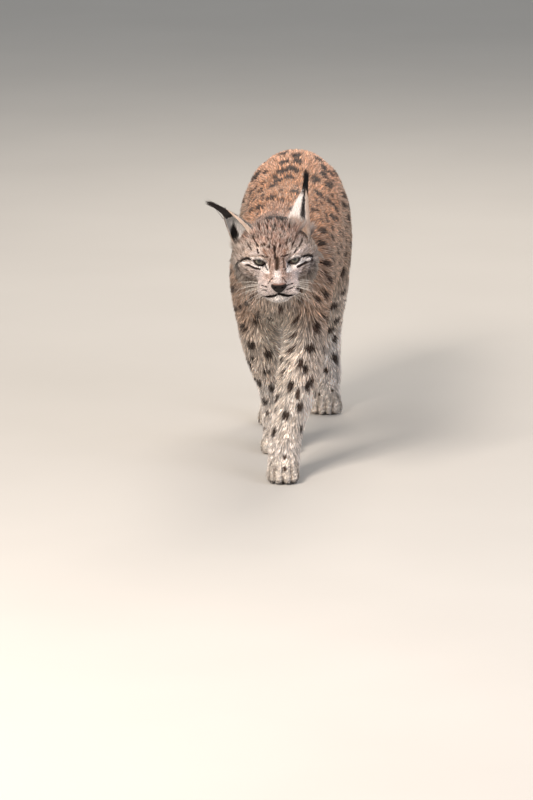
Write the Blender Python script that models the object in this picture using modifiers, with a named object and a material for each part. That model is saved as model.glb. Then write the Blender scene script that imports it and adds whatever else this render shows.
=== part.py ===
"""Eurasian lynx walking with its head low: a still, life-size museum model.

Metres, +Z up, the nose towards -Y and the animal's left side towards +X. The flesh is lofted and
modelled as one body whose surface is the outside of the coat, then parted by thin cuts.
"""

import math
import random

import bmesh
import bpy
import numpy as np
from mathutils import Matrix, Quaternion, Vector
from mathutils.bvhtree import BVHTree

# Driving sizes
GAP = 0.0003  # clear space kept between neighbouring pieces
VOXEL = 0.0034  # grain of the modelling of the whole body
BODY_TRIANGLES = 5800  # of the whole body, before it is parted
FACE_KEEP = 0.0045  # how much less the face is thinned than the rest

EYE_LEVEL = Vector((-0.015, -0.360, 0.509))  # midpoint between the eyes
HEAD_YAW = math.radians(5.0)
HEAD_PITCH = math.radians(13)
HEAD_ROLL = math.radians(2.5)
EYE_CENTRE = (0.0370, 0.0085, -0.0010)  # of the left eye, in the head's own axes
EYE_RADIUS = 0.0142
EAR_LENGTH = 0.080
EAR_WIDTH = 0.031  # half the width of the cup near its root
EAR_WALL = 0.0040
TUFT_LENGTH = 0.048  # of the hair on the tip of each ear

HEAD = (
    Matrix.Translation(EYE_LEVEL)
    @ Matrix.Rotation(HEAD_YAW, 4, "Z")
    @ Matrix.Rotation(HEAD_PITCH, 4, "X")
    @ Matrix.Rotation(-HEAD_ROLL, 4, "Y")
)

# Trunk: distance behind the withers, middle, top, underline, half width, fullness low down
TRUNK = [
    (-0.165, -0.018, 0.500, 0.385, 0.056, 0.0),
    (-0.130, -0.018, 0.545, 0.338, 0.084, 0.0),
    (-0.070, -0.017, 0.582, 0.312, 0.100, 0.02),
    (0.000, -0.014, 0.597, 0.303, 0.108, 0.06),
    (0.080, -0.010, 0.588, 0.302, 0.115, 0.10),
    (0.180, -0.004, 0.580, 0.310, 0.119, 0.14),
    (0.280, 0.000, 0.586, 0.325, 0.116, 0.12),
    (0.365, 0.000, 0.602, 0.350, 0.107, 0.06),
    (0.440, 0.000, 0.613, 0.380, 0.099, 0.0),
    (0.500, 0.000, 0.606, 0.408, 0.088, 0.0),
    (0.548, 0.000, 0.583, 0.440, 0.066, 0.0),
]
# Neck: middle point, half width, half height
NECK = [
    (-0.016, -0.020, 0.480, 0.085, 0.105),
    (-0.018, -0.100, 0.487, 0.083, 0.098),
    (-0.019, -0.170, 0.498, 0.077, 0.084),
    (-0.021, -0.240, 0.512, 0.070, 0.073),
    (-0.021, -0.290, 0.522, 0.064, 0.064),
]
# Legs, top down: middle point, half width across, half width fore and aft
FORELEG_LEFT = [
    (0.044, 0.010, 0.520, 0.026, 0.045),
    (0.056, -0.030, 0.490, 0.036, 0.070),
    (0.060, -0.066, 0.435, 0.046, 0.076),
    (0.047, -0.072, 0.360, 0.047, 0.066),
    (0.035, -0.088, 0.290, 0.047, 0.055),
    (0.025, -0.112, 0.225, 0.046, 0.047),
    (0.014, -0.138, 0.160, 0.040, 0.040),
    (0.001, -0.160, 0.108, 0.035, 0.036),
    (-0.005, -0.178, 0.062, 0.036, 0.036),
]
FORELEG_RIGHT = [
    (-0.056, 0.010, 0.535, 0.026, 0.045),
    (-0.074, -0.020, 0.495, 0.038, 0.072),
    (-0.083, -0.040, 0.435, 0.046, 0.076),
    (-0.078, -0.010, 0.360, 0.047, 0.066),
    (-0.063, 0.020, 0.285, 0.046, 0.055),
    (-0.050, 0.052, 0.220, 0.042, 0.046),
    (-0.036, 0.085, 0.160, 0.036, 0.039),
    (-0.028, 0.110, 0.108, 0.034, 0.036),
    (-0.025, 0.112, 0.062, 0.036, 0.036),
]
HINDLEG_LEFT = [
    (0.052, 0.470, 0.540, 0.045, 0.080),
    (0.069, 0.462, 0.480, 0.052, 0.098),
    (0.078, 0.452, 0.415, 0.050, 0.088),
    (0.078, 0.452, 0.350, 0.045, 0.068),
    (0.076, 0.486, 0.285, 0.037, 0.050),
    (0.072, 0.530, 0.225, 0.031, 0.040),
    (0.070, 0.556, 0.180, 0.028, 0.036),
    (0.068, 0.552, 0.125, 0.029, 0.032),
    (0.067, 0.540, 0.070, 0.033, 0.034),
]
HINDLEG_RIGHT = [
    (-0.052, 0.465, 0.540, 0.045, 0.080),
    (-0.070, 0.445, 0.480, 0.052, 0.098),
    (-0.080, 0.415, 0.415, 0.050, 0.088),
    (-0.078, 0.395, 0.350, 0.045, 0.068),
    (-0.070, 0.410, 0.285, 0.037, 0.051),
    (-0.062, 0.440, 0.225, 0.031, 0.041),
    (-0.055, 0.462, 0.178, 0.028, 0.036),
    (-0.050, 0.448, 0.125, 0.029, 0.032),
    (-0.046, 0.425, 0.072, 0.033, 0.034),
]
TAIL = [
    (0.000, 0.510, 0.560, 0.034, 0.034),
    (0.000, 0.565, 0.556, 0.031, 0.030),
    (0.001, 0.610, 0.530, 0.027, 0.027),
    (0.003, 0.634, 0.480, 0.0265, 0.0265),
    (0.005, 0.641, 0.425, 0.0265, 0.0265),
    (0.006, 0.641, 0.380, 0.0255, 0.0255),
]
# Paws: middle of the palm on the ground, half width, half length
PAWS = {
    "forepaw_left": (-0.006, -0.192, 0.040, 0.052),
    "forepaw_right": (-0.024, 0.102, 0.040, 0.052),
    "hindpaw_left": (0.066, 0.520, 0.037, 0.054),
    "hindpaw_right": (-0.043, 0.398, 0.037, 0.054),
}
# Masses of the head in its own axes, in centimetres: the middle, the half sizes, the turn in degrees
# about the side axis, and how softly each flows into the others. Those off the middle are mirrored.
HEAD_MASSES = [
    ((0.0, 6.2, 0.5), (7.3, 6.5, 6.2), 0, 1.0),  # cranium
    ((0.0, 2.9, 2.3), (4.8, 3.4, 2.8), -25, 1.8),  # forehead
    ((5.5, 4.8, -1.1), (3.4, 4.4, 3.9), 0, 1.6),  # cheek
    ((4.6, 6.6, -4.0), (3.8, 4.4, 3.7), 0, 1.8),  # angle of the jaw with its ruff
    ((3.5, 1.2, 1.80), (2.5, 1.5, 1.1), 0, 1.9),  # brow
    ((3.72, 1.05, -0.12), (1.95, 1.75, 1.55), 0, 0.5),  # lids over the eye
    ((4.0, 1.1, -2.6), (2.5, 2.4, 1.9), 0, 1.7),  # under the eye
    ((2.00, -2.2, -3.65), (2.50, 3.4, 2.35), 14, 1.5),  # side of the muzzle
    ((2.55, -4.2, -4.35), (2.20, 2.25, 1.70), 0, 1.3),  # whisker pad
    ((0.0, -5.40, -3.00), (1.70, 1.50, 1.40), 0, 1.1),  # nose
    ((0.0, -2.3, -5.6), (3.4, 4.2, 1.9), 8, 1.3),  # lower jaw
    ((0.0, -4.3, -6.30), (2.00, 1.55, 1.20), 0, 0.9),  # chin
    ((0.0, 3.8, -5.3), (4.4, 5.0, 2.6), 0, 1.8),  # throat
]
# The bridge of the nose: two ends with their radii, flattened across
BRIDGE = ((0.0, 0.7, 0.6), 2.20, (0.0, -5.3, -3.0), 1.75, 0.90, 1.4)
# Hollows pressed into the face: middle, half sizes, softness
HEAD_HOLLOWS = [
    ((2.40, -0.95, -0.80), (0.60, 0.9, 0.55), 1.0),  # the valley that holds the inner corner of the eye
    ((5.6, -2.4, -4.8), (1.6, 2.4, 1.6), 1.3),  # between the pad and the cheek
]
HEAD_HEART = (0.0, 2.6, -1.2)  # the head's surface is seen whole from here

# Opening between the lids of the left eye: across and up, centimetres, from the inner corner outwards
UPPER_LID = [(2.45, -0.74), (2.72, -0.22), (3.15, 0.20), (3.70, 0.44), (4.30, 0.50), (4.95, 0.36)]
LOWER_LID = [
    (2.45, -0.74), (2.85, -0.84), (3.30, -0.82), (3.80, -0.68), (4.28, -0.44), (4.68, -0.10), (4.95, 0.36),
]
EYE_MIDDLE = (3.68, -0.14)  # of the opening
LID_THICKNESS = 0.15  # centimetres
# Leather of the nose: outline across and up, left half from the top
NOSE_LINE = [
    (0.0, -2.45), (0.9, -2.40), (1.50, -2.65), (1.45, -3.15), (0.95, -3.60), (0.42, -4.20), (0.0, -4.35),
]
NOSTRIL = ((0.64, -6.85, -3.25), (0.30, 0.55, 0.20))
# Line of the mouth: rough points, laid on the skin afterwards
MOUTH = [(4.4, -2.2, -4.5), (3.7, -4.2, -5.15), (2.6, -5.6, -5.50), (1.3, -6.2, -5.62), (0.35, -6.5, -5.35)]
PHILTRUM = [(0.0, -6.6, -4.35), (0.0, -6.6, -4.8), (0.0, -6.6, -5.3)]
# Ears: root, way the ear stands, way its cup looks, way its tuft bends (all in the head's axes)
EARS = {
    "ear_left": ((5.4, 7.0, 4.7), (0.20, 0.50, 0.80), (0.86, 0.50, -0.20), (0.00, 0.50, 0.95)),
    "ear_right": ((-6.5, 6.3, 2.8), (-0.52, -0.05, 0.85), (-0.50, -0.84, -0.10), (-0.95, -0.05, 0.30)),
}
TUFT_LOCKS = 5  # on the tip of each ear
# Rows of locks of the ruff on the left cheek: rough roots from the ear down, the ways the first and
# the last lie, length, count
RUFF = [
    ([(8.4, 4.6, 1.6), (8.8, 5.0, -1.2), (8.0, 4.6, -3.8), (5.6, 3.8, -6.4)],
     ((0.1, 0.75, -0.6), (0.0, 0.4, -0.9)), 0.044, 7),
    ([(8.2, 2.4, -0.2), (8.2, 2.4, -2.4), (7.2, 2.6, -4.4), (5.4, 2.2, -5.8)],
     ((0.1, 0.7, -0.7), (0.0, 0.5, -0.85)), 0.040, 6),
]
# Thin cuts between the pieces: middle, normal, half extents across and along
CUTS = {
    "neck_from_head": None,
    "chest_from_neck": ((-0.02, -0.105, 0.50), (0.0, 0.868, -0.496), 0.16, 0.17),
    "belly_from_chest": ((0.0, 0.125, 0.45), (0.0, 1.0, 0.0), 0.17, 0.20),
    "hips_from_belly": ((0.0, 0.290, 0.45), (0.0, 1.0, 0.0), 0.17, 0.20),
    "foreleg_left": ((0.038, -0.092, 0.280), (0.0, 0.10, -0.99), 0.058, 0.066),
    "foreleg_right": ((-0.064, 0.020, 0.284), (0.0, -0.22, -0.97), 0.062, 0.075),
    "forepaw_left": ((-0.003, -0.168, 0.084), (0.0, 0.0, -1.0), 0.060, 0.060),
    "forepaw_right": ((-0.026, 0.112, 0.084), (0.0, 0.0, -1.0), 0.060, 0.055),
    "thigh_left": ((0.072, 0.450, 0.430), (0.75, 0.35, -0.55), 0.150, 0.120),
    "thigh_right": ((-0.074, 0.440, 0.425), (-0.75, 0.35, -0.55), 0.150, 0.126),
    "shank_left": ((0.078, 0.470, 0.312), (0.0, 0.30, -0.95), 0.060, 0.085),
    "shank_right": ((-0.074, 0.402, 0.312), (0.0, 0.30, -0.95), 0.060, 0.080),
    "hind_foot_left": ((0.074, 0.545, 0.200), (0.0, 0.30, -0.95), 0.052, 0.056),
    "hind_foot_right": ((-0.057, 0.455, 0.200), (0.0, 0.30, -0.95), 0.055, 0.062),
    "tail": ((0.002, 0.624, 0.500), (0.0, 0.45, -0.89), 0.050, 0.038),
    "tail_tip": ((0.004, 0.640, 0.428), (0.0, 0.0, -1.0), 0.060, 0.050),
}
# A point inside each piece of flesh, by which it is named
NAMES = {
    "head": (-0.018, -0.300, 0.520),
    "neck": (-0.020, -0.190, 0.495),
    "chest": (-0.015, 0.020, 0.450),
    "belly": (0.000, 0.210, 0.450),
    "hips": (0.000, 0.430, 0.500),
    "tail": (0.003, 0.638, 0.455),
    "tail_tip": (0.005, 0.641, 0.390),
    "foreleg_left": (0.020, -0.125, 0.190),
    "foreleg_right": (-0.045, 0.065, 0.190),
    "forepaw_left": (-0.006, -0.190, 0.030),
    "forepaw_right": (-0.024, 0.102, 0.030),
    "thigh_left": (0.085, 0.450, 0.390),
    "thigh_right": (-0.085, 0.415, 0.390),
    "shank_left": (0.074, 0.510, 0.255),
    "shank_right": (-0.066, 0.425, 0.255),
    "hind_foot_left": (0.068, 0.545, 0.090),
    "hind_foot_right": (-0.050, 0.435, 0.090),
}
# Colours of the pieces from the photo, linear, with their roughness
COATS = {
    "tawny_fur": ((0.36, 0.20, 0.11), 0.8),
    "grey_fur": ((0.33, 0.25, 0.20), 0.8),
    "pale_fur": ((0.52, 0.42, 0.34), 0.8),
    "ear_fur": ((0.30, 0.27, 0.25), 0.8),
    "black_fur": ((0.02, 0.018, 0.018), 0.75),
    "iris": ((0.16, 0.15, 0.09), 0.1),
    "nose_leather": ((0.16, 0.08, 0.07), 0.45),
}
# The coat of each piece, by how its name begins
COAT_OF = {
    "eye": "iris", "nose": "nose_leather", "tail_tip": "black_fur", "ear": "ear_fur", "head": "grey_fur",
    "neck": "grey_fur", "chest": "grey_fur", "belly": "tawny_fur", "hips": "tawny_fur", "tail": "tawny_fur",
    "thigh": "tawny_fur", "shank": "pale_fur", "fore": "pale_fur", "hind": "pale_fur",
}


def clear_scene():
    """Removes what the file holds, so that the model stands alone."""
    for obj in list(bpy.data.objects):
        bpy.data.objects.remove(obj, do_unlink=True)


def new_collection(name, hidden=False):
    """A collection under the scene's own."""
    made = bpy.data.collections.new(name)
    made.hide_render = hidden
    bpy.context.scene.collection.children.link(made)
    return made


def finish_mesh(name, bm, home):
    """Turns a bmesh into a smooth-shaded object."""
    bmesh.ops.recalc_face_normals(bm, faces=bm.faces)
    mesh = bpy.data.meshes.new(name)
    bm.to_mesh(mesh)
    bm.free()
    mesh.shade_smooth()
    obj = bpy.data.objects.new(name, mesh)
    home.objects.link(obj)
    return obj


def spline(rows, steps):
    """Rows of numbers made finer by a smooth curve through them."""
    rows = np.array(rows, float)
    padded = np.vstack([2 * rows[0] - rows[1], rows, 2 * rows[-1] - rows[-2]])
    out = []
    for i in range(len(rows) - 1):
        a, b, c, d = padded[i : i + 4]
        for t in np.arange(steps) / steps:
            out.append(
                0.5 * (2 * b + (c - a) * t + (2 * a - 5 * b + 4 * c - d) * t**2
                       + (3 * b - a - 3 * c + d) * t**3)
            )
    out.append(rows[-1])
    return np.array(out)


def loft(name, rows, home, sides=28, steps=4, across=(1, 0, 0), power=2.0, end=0.8):
    """A closed body through rows of middle, half width, half height and fullness low down.

    Its sections stand square to the line of the middles, and its two ends are domed.
    """
    rows = spline([list(r) + [0.0] * (6 - len(r)) for r in rows], steps)
    line = rows[:, :3]
    along = np.gradient(line, axis=0)
    along /= np.linalg.norm(along, axis=1)[:, None]
    rings = []
    for row, way in zip(rows, along):
        rings.append((row[:3], way, row[3], row[4], row[5]))
    dome = []
    for share in (0.35, 0.65, 0.88):
        dome.append((math.sin(share * math.pi / 2), math.cos(share * math.pi / 2)))
    first, last = rings[0], rings[-1]
    for out, shrink in dome:
        reach = end * min(first[2], first[3]) * out
        rings.insert(0, (first[0] - first[1] * reach, first[1], first[2] * shrink, first[3] * shrink, first[4]))
        reach = end * min(last[2], last[3]) * out
        rings.append((last[0] + last[1] * reach, last[1], last[2] * shrink, last[3] * shrink, last[4]))
    bm = bmesh.new()
    loops = []
    for middle, way, half_width, half_height, full in rings:
        way = Vector(way)
        side = (Vector(across) - way * way.dot(Vector(across))).normalized()
        up = side.cross(way)
        loop = []
        for i in range(sides):
            angle = 2 * math.pi * i / sides
            c, s = math.cos(angle), math.sin(angle)
            x = math.copysign(abs(c) ** (2 / power), c)
            z = math.copysign(abs(s) ** (2 / power), s)
            x *= 1 - full * z
            loop.append(bm.verts.new(Vector(middle) + side * x * half_width + up * z * half_height))
        loops.append(loop)
    for low, high in zip(loops, loops[1:]):
        for i in range(sides):
            j = (i + 1) % sides
            bm.faces.new((low[i], low[j], high[j], high[i]))
    for loop, pole in ((loops[0], rings[0]), (loops[-1], rings[-1])):
        way = Vector(pole[1]) * (-1 if loop is loops[0] else 1)
        tip = bm.verts.new(Vector(pole[0]) + way * end * min(pole[2], pole[3]) * 0.3)
        for i in range(sides):
            bm.faces.new((loop[i], loop[(i + 1) % sides], tip))
    return finish_mesh(name, bm, home)


def ball(name, middle, halves, home, turn=None, level=3):
    """An egg of the given half sizes."""
    bm = bmesh.new()
    bmesh.ops.create_icosphere(bm, subdivisions=level, radius=1.0)
    place = Matrix.Translation(middle) @ (turn or Matrix.Identity(4)) @ Matrix.Diagonal((*halves, 1))
    bmesh.ops.transform(bm, matrix=place, verts=bm.verts)
    return finish_mesh(name, bm, home)


def paw(name, home):
    """Palm and four toes of a foot, its sole carried under the floor to be cut flat."""
    x, y, half_width, half_length = PAWS[name]
    palm = (half_width * 0.88, half_length * 0.80, 0.034)
    made = [ball(name, (x, y + 0.006, 0.030), palm, home)]
    for i, place in enumerate((-1.0, -0.36, 0.36, 1.0)):
        forward = half_length * (0.78 - 0.20 * place**2)
        toe = (half_width * 0.30, half_length * 0.42, 0.0215)
        made.append(
            ball(f"{name}_{i}", (x + place * half_width * 0.68, y - forward, 0.0165), toe, home)
        )
    return made


def body_forms(home):
    """Every mass of the animal, overlapping, as separate closed meshes."""
    trunk = [
        (x, y, (top + low) / 2, wide, (top - low) / 2, full)
        for y, x, top, low, wide, full in TRUNK
    ]
    made = [
        loft("trunk", trunk, home, sides=40, power=2.15, end=0.5),
        loft("neck", NECK, home, sides=32),
        loft("foreleg_l", FORELEG_LEFT, home),
        loft("foreleg_r", FORELEG_RIGHT, home),
        loft("hindleg_l", HINDLEG_LEFT, home),
        loft("hindleg_r", HINDLEG_RIGHT, home),
        loft("tail", TAIL, home, end=0.9),
    ]
    for name in PAWS:
        made += paw(name, home)
    return made


def egg_distance(points, middle, halves, turn=0.0):
    """Distance of points from the surface of an egg, negative inside."""
    place = points - np.array(middle)
    c, d = math.cos(math.radians(turn)), math.sin(math.radians(turn))
    place = np.column_stack(
        [place[:, 0], c * place[:, 1] + d * place[:, 2], -d * place[:, 1] + c * place[:, 2]]
    )
    halves = np.array(halves)
    out = np.linalg.norm(place / halves, axis=1)
    grade = np.linalg.norm(place / halves**2, axis=1)
    return out * (out - 1) / np.maximum(grade, 1e-6)


def soft_union(a, b, soft):
    """Union of two fields with the crease between them filled."""
    return np.minimum(a, b) - np.maximum(soft - np.abs(a - b), 0) ** 2 / (4 * soft)


def head_field(points):
    """Distance of points from the skin of the head, in its own axes, centimetres."""
    folded = points.copy()
    folded[:, 0] = np.sqrt(points[:, 0] ** 2 + 0.01)
    field = None
    for middle, halves, turn, soft in HEAD_MASSES:
        near = egg_distance(folded if middle[0] else points, middle, halves, turn)
        field = near if field is None else soft_union(field, near, soft)
    start, wide, end, narrow, across, soft = BRIDGE
    start, way = np.array(start), np.array(end) - np.array(start)
    place = points - start
    share = np.clip(place @ way / (way @ way), 0, 1)
    off = place - share[:, None] * way
    off[:, 0] *= across
    field = soft_union(field, np.linalg.norm(off, axis=1) - wide - share * (narrow - wide), soft)
    for middle, halves, soft in HEAD_HOLLOWS:
        near = egg_distance(folded, middle, halves)
        field = -soft_union(-field, near, soft)
    return field


def head_forms(home):
    """The head: a ball whose points are drawn in to the skin, then turned into place."""
    bm = bmesh.new()
    bmesh.ops.create_icosphere(bm, subdivisions=7, radius=1.0)
    rays = np.array([vertex.co[:] for vertex in bm.verts])
    heart = np.array(HEAD_HEART)
    reach = np.full(len(rays), 16.0)
    for _ in range(60):
        reach -= np.clip(head_field(heart + rays * reach[:, None]) * 0.7, -0.5, 1.2)
    for vertex, place in zip(bm.verts, (heart + rays * reach[:, None]) * 0.01):
        vertex.co = place
    bmesh.ops.transform(bm, matrix=HEAD, verts=bm.verts)
    return [finish_mesh("head_form", bm, home)]


def apply_modifiers(obj):
    """Bakes the modifiers of an object into its mesh."""
    graph = bpy.context.evaluated_depsgraph_get()
    mesh = bpy.data.meshes.new_from_object(obj.evaluated_get(graph))
    obj.modifiers.clear()
    old = obj.data
    obj.data = mesh
    bpy.data.meshes.remove(old)
    return obj


def join(objects, name):
    """One object from several, their meshes still separate shells."""
    bm = bmesh.new()
    for obj in objects:
        bm.from_mesh(obj.data)
    home = objects[0].users_collection[0]
    for obj in objects:
        bpy.data.objects.remove(obj, do_unlink=True)
    return finish_mesh(name, bm, home)


def near_head(obj):
    """Vertex groups: the face and the toes, which aren't blended, and what may be thinned more."""
    face = obj.vertex_groups.new(name="face")
    coarse = obj.vertex_groups.new(name="coarse")
    inverse = HEAD.inverted()
    for vertex in obj.data.vertices:
        place = inverse @ vertex.co
        weight = min(1.0, max(0.0, (0.095 - place.y) / 0.05)) * (abs(place.x) < 0.11)
        weight *= place.z > -0.105
        toes = min(0.8, max(0.0, (0.062 - vertex.co.z) / 0.02))
        face.add([vertex.index], max(weight, toes), "REPLACE")
        coarse.add([vertex.index], 1 - 0.5 * weight, "REPLACE")


def cut(obj, cutter, operation="DIFFERENCE", solver="EXACT"):
    """Applies one Boolean and leaves the cutter as it was."""
    step = obj.modifiers.new("cut", "BOOLEAN")
    step.operation = operation
    step.solver = solver
    step.object = cutter
    apply_modifiers(obj)


def largest_part(obj):
    """Keeps the biggest closed surface of an object."""
    bm = bmesh.new()
    bm.from_mesh(obj.data)
    groups = loose_parts(bm)
    groups.sort(key=len, reverse=True)
    for group in groups[1:]:
        bmesh.ops.delete(bm, geom=group, context="VERTS")
    bm.to_mesh(obj.data)
    bm.free()


def loose_parts(bm):
    """The vertices of a bmesh by separate surface."""
    seen = set()
    groups = []
    for start in bm.verts:
        if start in seen:
            continue
        seen.add(start)
        group = [start]
        for vertex in group:
            for edge in vertex.link_edges:
                other = edge.other_vert(vertex)
                if other not in seen:
                    seen.add(other)
                    group.append(other)
        groups.append(group)
    return groups


def slab(middle, normal, across, along, hidden):
    """A thin plate that parts what it passes through."""
    normal = Vector(normal).normalized()
    level = Vector((0, 0, 1)).cross(normal)
    level = Vector((1, 0, 0)) if level.length < 0.3 else level.normalized()
    rise = normal.cross(level)
    turn = Matrix((level, rise, normal)).transposed().to_4x4()
    bm = bmesh.new()
    bmesh.ops.create_cube(bm, size=1.0)
    size = Matrix.Diagonal((2 * across, 2 * along, GAP, 1))
    bmesh.ops.transform(bm, matrix=Matrix.Translation(middle) @ turn @ size, verts=bm.verts)
    return finish_mesh("plate", bm, hidden)


def head_plate(hidden):
    """The plate between head and neck, set in the head's own axes."""
    made = slab((0, 0.0825, -0.0075), (0, 0.874, -0.486), 0.13, 0.14, hidden)
    made.data.transform(HEAD)
    return made


def flat_soles(body, hidden):
    """Cuts the feet off flat at the floor."""
    bm = bmesh.new()
    bmesh.ops.create_cube(bm, size=1.0)
    place = Matrix.Translation((0, 0.1, -0.05)) @ Matrix.Diagonal((1, 2, 0.1, 1))
    bmesh.ops.transform(bm, matrix=place, verts=bm.verts)
    floor = finish_mesh("floor_cutter", bm, hidden)
    cut(body, floor)
    bpy.data.objects.remove(floor, do_unlink=True)


def part_body(body, home, hidden):
    """Parts the body by the thin cuts and names each piece by the point it holds."""
    for name, plate in CUTS.items():
        cutter = head_plate(hidden) if plate is None else slab(*plate, hidden)
        cut(body, cutter)
        bpy.data.objects.remove(cutter, do_unlink=True)
    bm = bmesh.new()
    bm.from_mesh(body.data)
    made = {}
    for group in sorted(loose_parts(bm), key=len, reverse=True):
        bm.verts.index_update()
        stay = {vertex.index for vertex in group}
        piece = bm.copy()
        drop = [vertex for vertex in piece.verts if vertex.index not in stay]
        bmesh.ops.delete(piece, geom=drop, context="VERTS")
        tree = BVHTree.FromBMesh(piece)
        names = [name for name, spot in NAMES.items() if name not in made and holds(tree, spot)]
        if names:
            made[names[0]] = finish_mesh(names[0], piece, home)
    bm.free()
    bpy.data.objects.remove(body, do_unlink=True)
    return made


def holds(tree, spot):
    """Whether a closed surface holds a point, told by the walls that a ray from it meets."""
    start, way, walls = Vector(spot), Vector((0.03, 0.05, 1.0)).normalized(), 0
    while True:
        place = tree.ray_cast(start, way)[0]
        if place is None:
            return walls % 2 == 1
        walls += 1
        start = place + way * 1e-6


def prism(name, outline, front, back, hidden):
    """A closed bar along the face from an outline across and up, centimetres in the head's axes."""
    bm = bmesh.new()
    rings = [[bm.verts.new((x * 0.01, y * 0.01, z * 0.01)) for x, z in outline] for y in (front, back)]
    count = len(outline)
    for i in range(count):
        j = (i + 1) % count
        bm.faces.new((rings[0][i], rings[0][j], rings[1][j], rings[1][i]))
    bm.faces.new(rings[0][::-1])
    bm.faces.new(rings[1])
    bmesh.ops.transform(bm, matrix=HEAD, verts=bm.verts)
    return finish_mesh(name, bm, hidden)


def tube(name, points, radius, home, sides=6):
    """A round bar along points, pointed at both ends."""
    line = spline(points, 4)
    bm = bmesh.new()
    loops = []
    for i, point in enumerate(line):
        way = Vector(line[min(i + 1, len(line) - 1)] - line[max(i - 1, 0)]).normalized()
        side = way.cross(Vector((0.1, 0.2, 0.97))).normalized()
        up = side.cross(way)
        wide = radius * min(1.0, 0.35 + 0.65 * min(i, len(line) - 1 - i) / 3)
        loop = []
        for k in range(sides):
            angle = 2 * math.pi * k / sides
            loop.append(bm.verts.new(Vector(point) + (side * math.cos(angle) + up * math.sin(angle)) * wide))
        loops.append(loop)
    for low, high in zip(loops, loops[1:]):
        for k in range(sides):
            bm.faces.new((low[k], low[(k + 1) % sides], high[(k + 1) % sides], high[k]))
    bm.faces.new(loops[0][::-1])
    bm.faces.new(loops[-1])
    return finish_mesh(name, bm, home)


def mirrored(point, side):
    """A point given for the left half, on the wanted side."""
    return (point[0] * side, point[1], point[2])


def opening(across, up, depth):
    """Points round the opening of the left eye, scaled about its middle, at depths from a function."""
    line = [(x, z) for x, z in spline(LOWER_LID, 3)[:-1]] + [(x, z) for x, z in spline(UPPER_LID, 3)[:0:-1]]
    points = []
    for x, z in line:
        wide = EYE_MIDDLE[0] + (x - EYE_MIDDLE[0]) * across
        high = EYE_MIDDLE[1] + (z - EYE_MIDDLE[1]) * up
        points.append((wide, depth(x, z, wide, high), high))
    return points


def rim_depth(x, z):
    """How far back the edge of a lid lies: just in front of the eyeball, less so at the corners."""
    centre = [value * 100 for value in EYE_CENTRE]
    off = (x - centre[0]) ** 2 + (z - centre[2]) ** 2
    return centre[1] - math.sqrt(max((EYE_RADIUS * 100 + LID_THICKNESS) ** 2 - off, 0.64))


def ring_solid(name, rings, side, hidden, closed):
    """A solid through rings of points, either a closed band or capped at both ends."""
    bm = bmesh.new()
    loops = [[bm.verts.new(Vector(mirrored(point, side)) * 0.01) for point in ring] for ring in rings]
    following = loops[1:] + loops[:1] if closed else loops[1:]
    for low, high in zip(loops, following):
        for i in range(len(low)):
            j = (i + 1) % len(low)
            bm.faces.new((low[i], low[j], high[j], high[i]))
    if not closed:
        bm.faces.new(loops[0])
        bm.faces.new(loops[-1][::-1])
    bmesh.ops.transform(bm, matrix=HEAD, verts=bm.verts)
    return finish_mesh(name, bm, hidden)


def lids(head, side, hidden):
    """The band of both lids round one eye, its outer edge sunk in the skin, and a cutter to seat it."""
    tree = BVHTree.FromObject(head, bpy.context.evaluated_depsgraph_get())
    inverse = HEAD.inverted()
    look = (HEAD.to_3x3() @ Vector((0, 1, 0))).normalized()

    def sunk(x, z, wide, high):
        start = HEAD @ (Vector(mirrored((wide, -12.0, high), side)) * 0.01)
        skin = (inverse @ tree.ray_cast(start, look)[0]).y * 100
        return max(skin + 0.22, rim_depth(x, z) - 0.35)

    rings = [
        opening(1.32, 1.32, lambda x, z, wide, high: 0.5),
        opening(1.0, 1.0, lambda x, z, wide, high: rim_depth(x, z) + 0.12),
        opening(1.04, 1.04, lambda x, z, wide, high: rim_depth(x, z) - 0.02),
        opening(1.32, 1.32, sunk),
    ]
    band = ring_solid("lids", rings, side, hidden, closed=True)
    way = [opening(1.12, 1.15, lambda x, z, wide, high, y=y: y) for y in (-12.0, 0.6)]
    return band, ring_solid("way", way, side, hidden, closed=False)


def eyes(head, home, hidden):
    """Two separate eyeballs behind their lids."""
    made = {}
    bands = []
    for side in (1, -1):
        band, way = lids(head, side, hidden)
        cut(head, way)
        bpy.data.objects.remove(way, do_unlink=True)
        bands.append(band)
    grow(head, bands, "lid_bands")
    for side, name in ((1, "eye_left"), (-1, "eye_right")):
        centre = mirrored(EYE_CENTRE, side)
        socket = ball("socket", centre, (EYE_RADIUS + GAP,) * 3, hidden, level=3)
        socket.data.transform(HEAD)
        cut(head, socket)
        bpy.data.objects.remove(socket, do_unlink=True)
        eye = ball(name, centre, (EYE_RADIUS,) * 3, home, level=3)
        eye.data.transform(HEAD)
        made[name] = eye
    largest_part(head)
    return made


def nose(head, home, hidden):
    """Parts the leather of the nose from the head, with its nostrils."""
    outline = NOSE_LINE + [(-x, z) for x, z in NOSE_LINE[-2:0:-1]]
    middle = (0.0, -3.2)
    grown = [
        (middle[0] + (x - middle[0]) * 1.03, middle[1] + (z - middle[1]) * 1.03) for x, z in outline
    ]
    pad = head.copy()
    pad.data = head.data.copy()
    pad.name = "nose"
    home.objects.link(pad)
    inner = prism("inner", outline, -10.0, -5.15, hidden)
    outer = prism("outer", grown, -10.0, -5.12, hidden)
    cut(pad, inner, "INTERSECT")
    cut(head, outer)
    for side in (1, -1):
        hole = ball("nostril", (0, 0, 0), [v * 0.01 for v in NOSTRIL[1]], hidden, level=2)
        hole.data.transform(Matrix.Rotation(math.radians(-24 * side), 4, "Y"))
        hole.data.transform(Matrix.Translation([v * 0.01 for v in mirrored(NOSTRIL[0], side)]))
        hole.data.transform(HEAD)
        cut(pad, hole)
        bpy.data.objects.remove(hole, do_unlink=True)
    for obj in (inner, outer):
        bpy.data.objects.remove(obj, do_unlink=True)
    largest_part(pad)
    return pad


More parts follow.
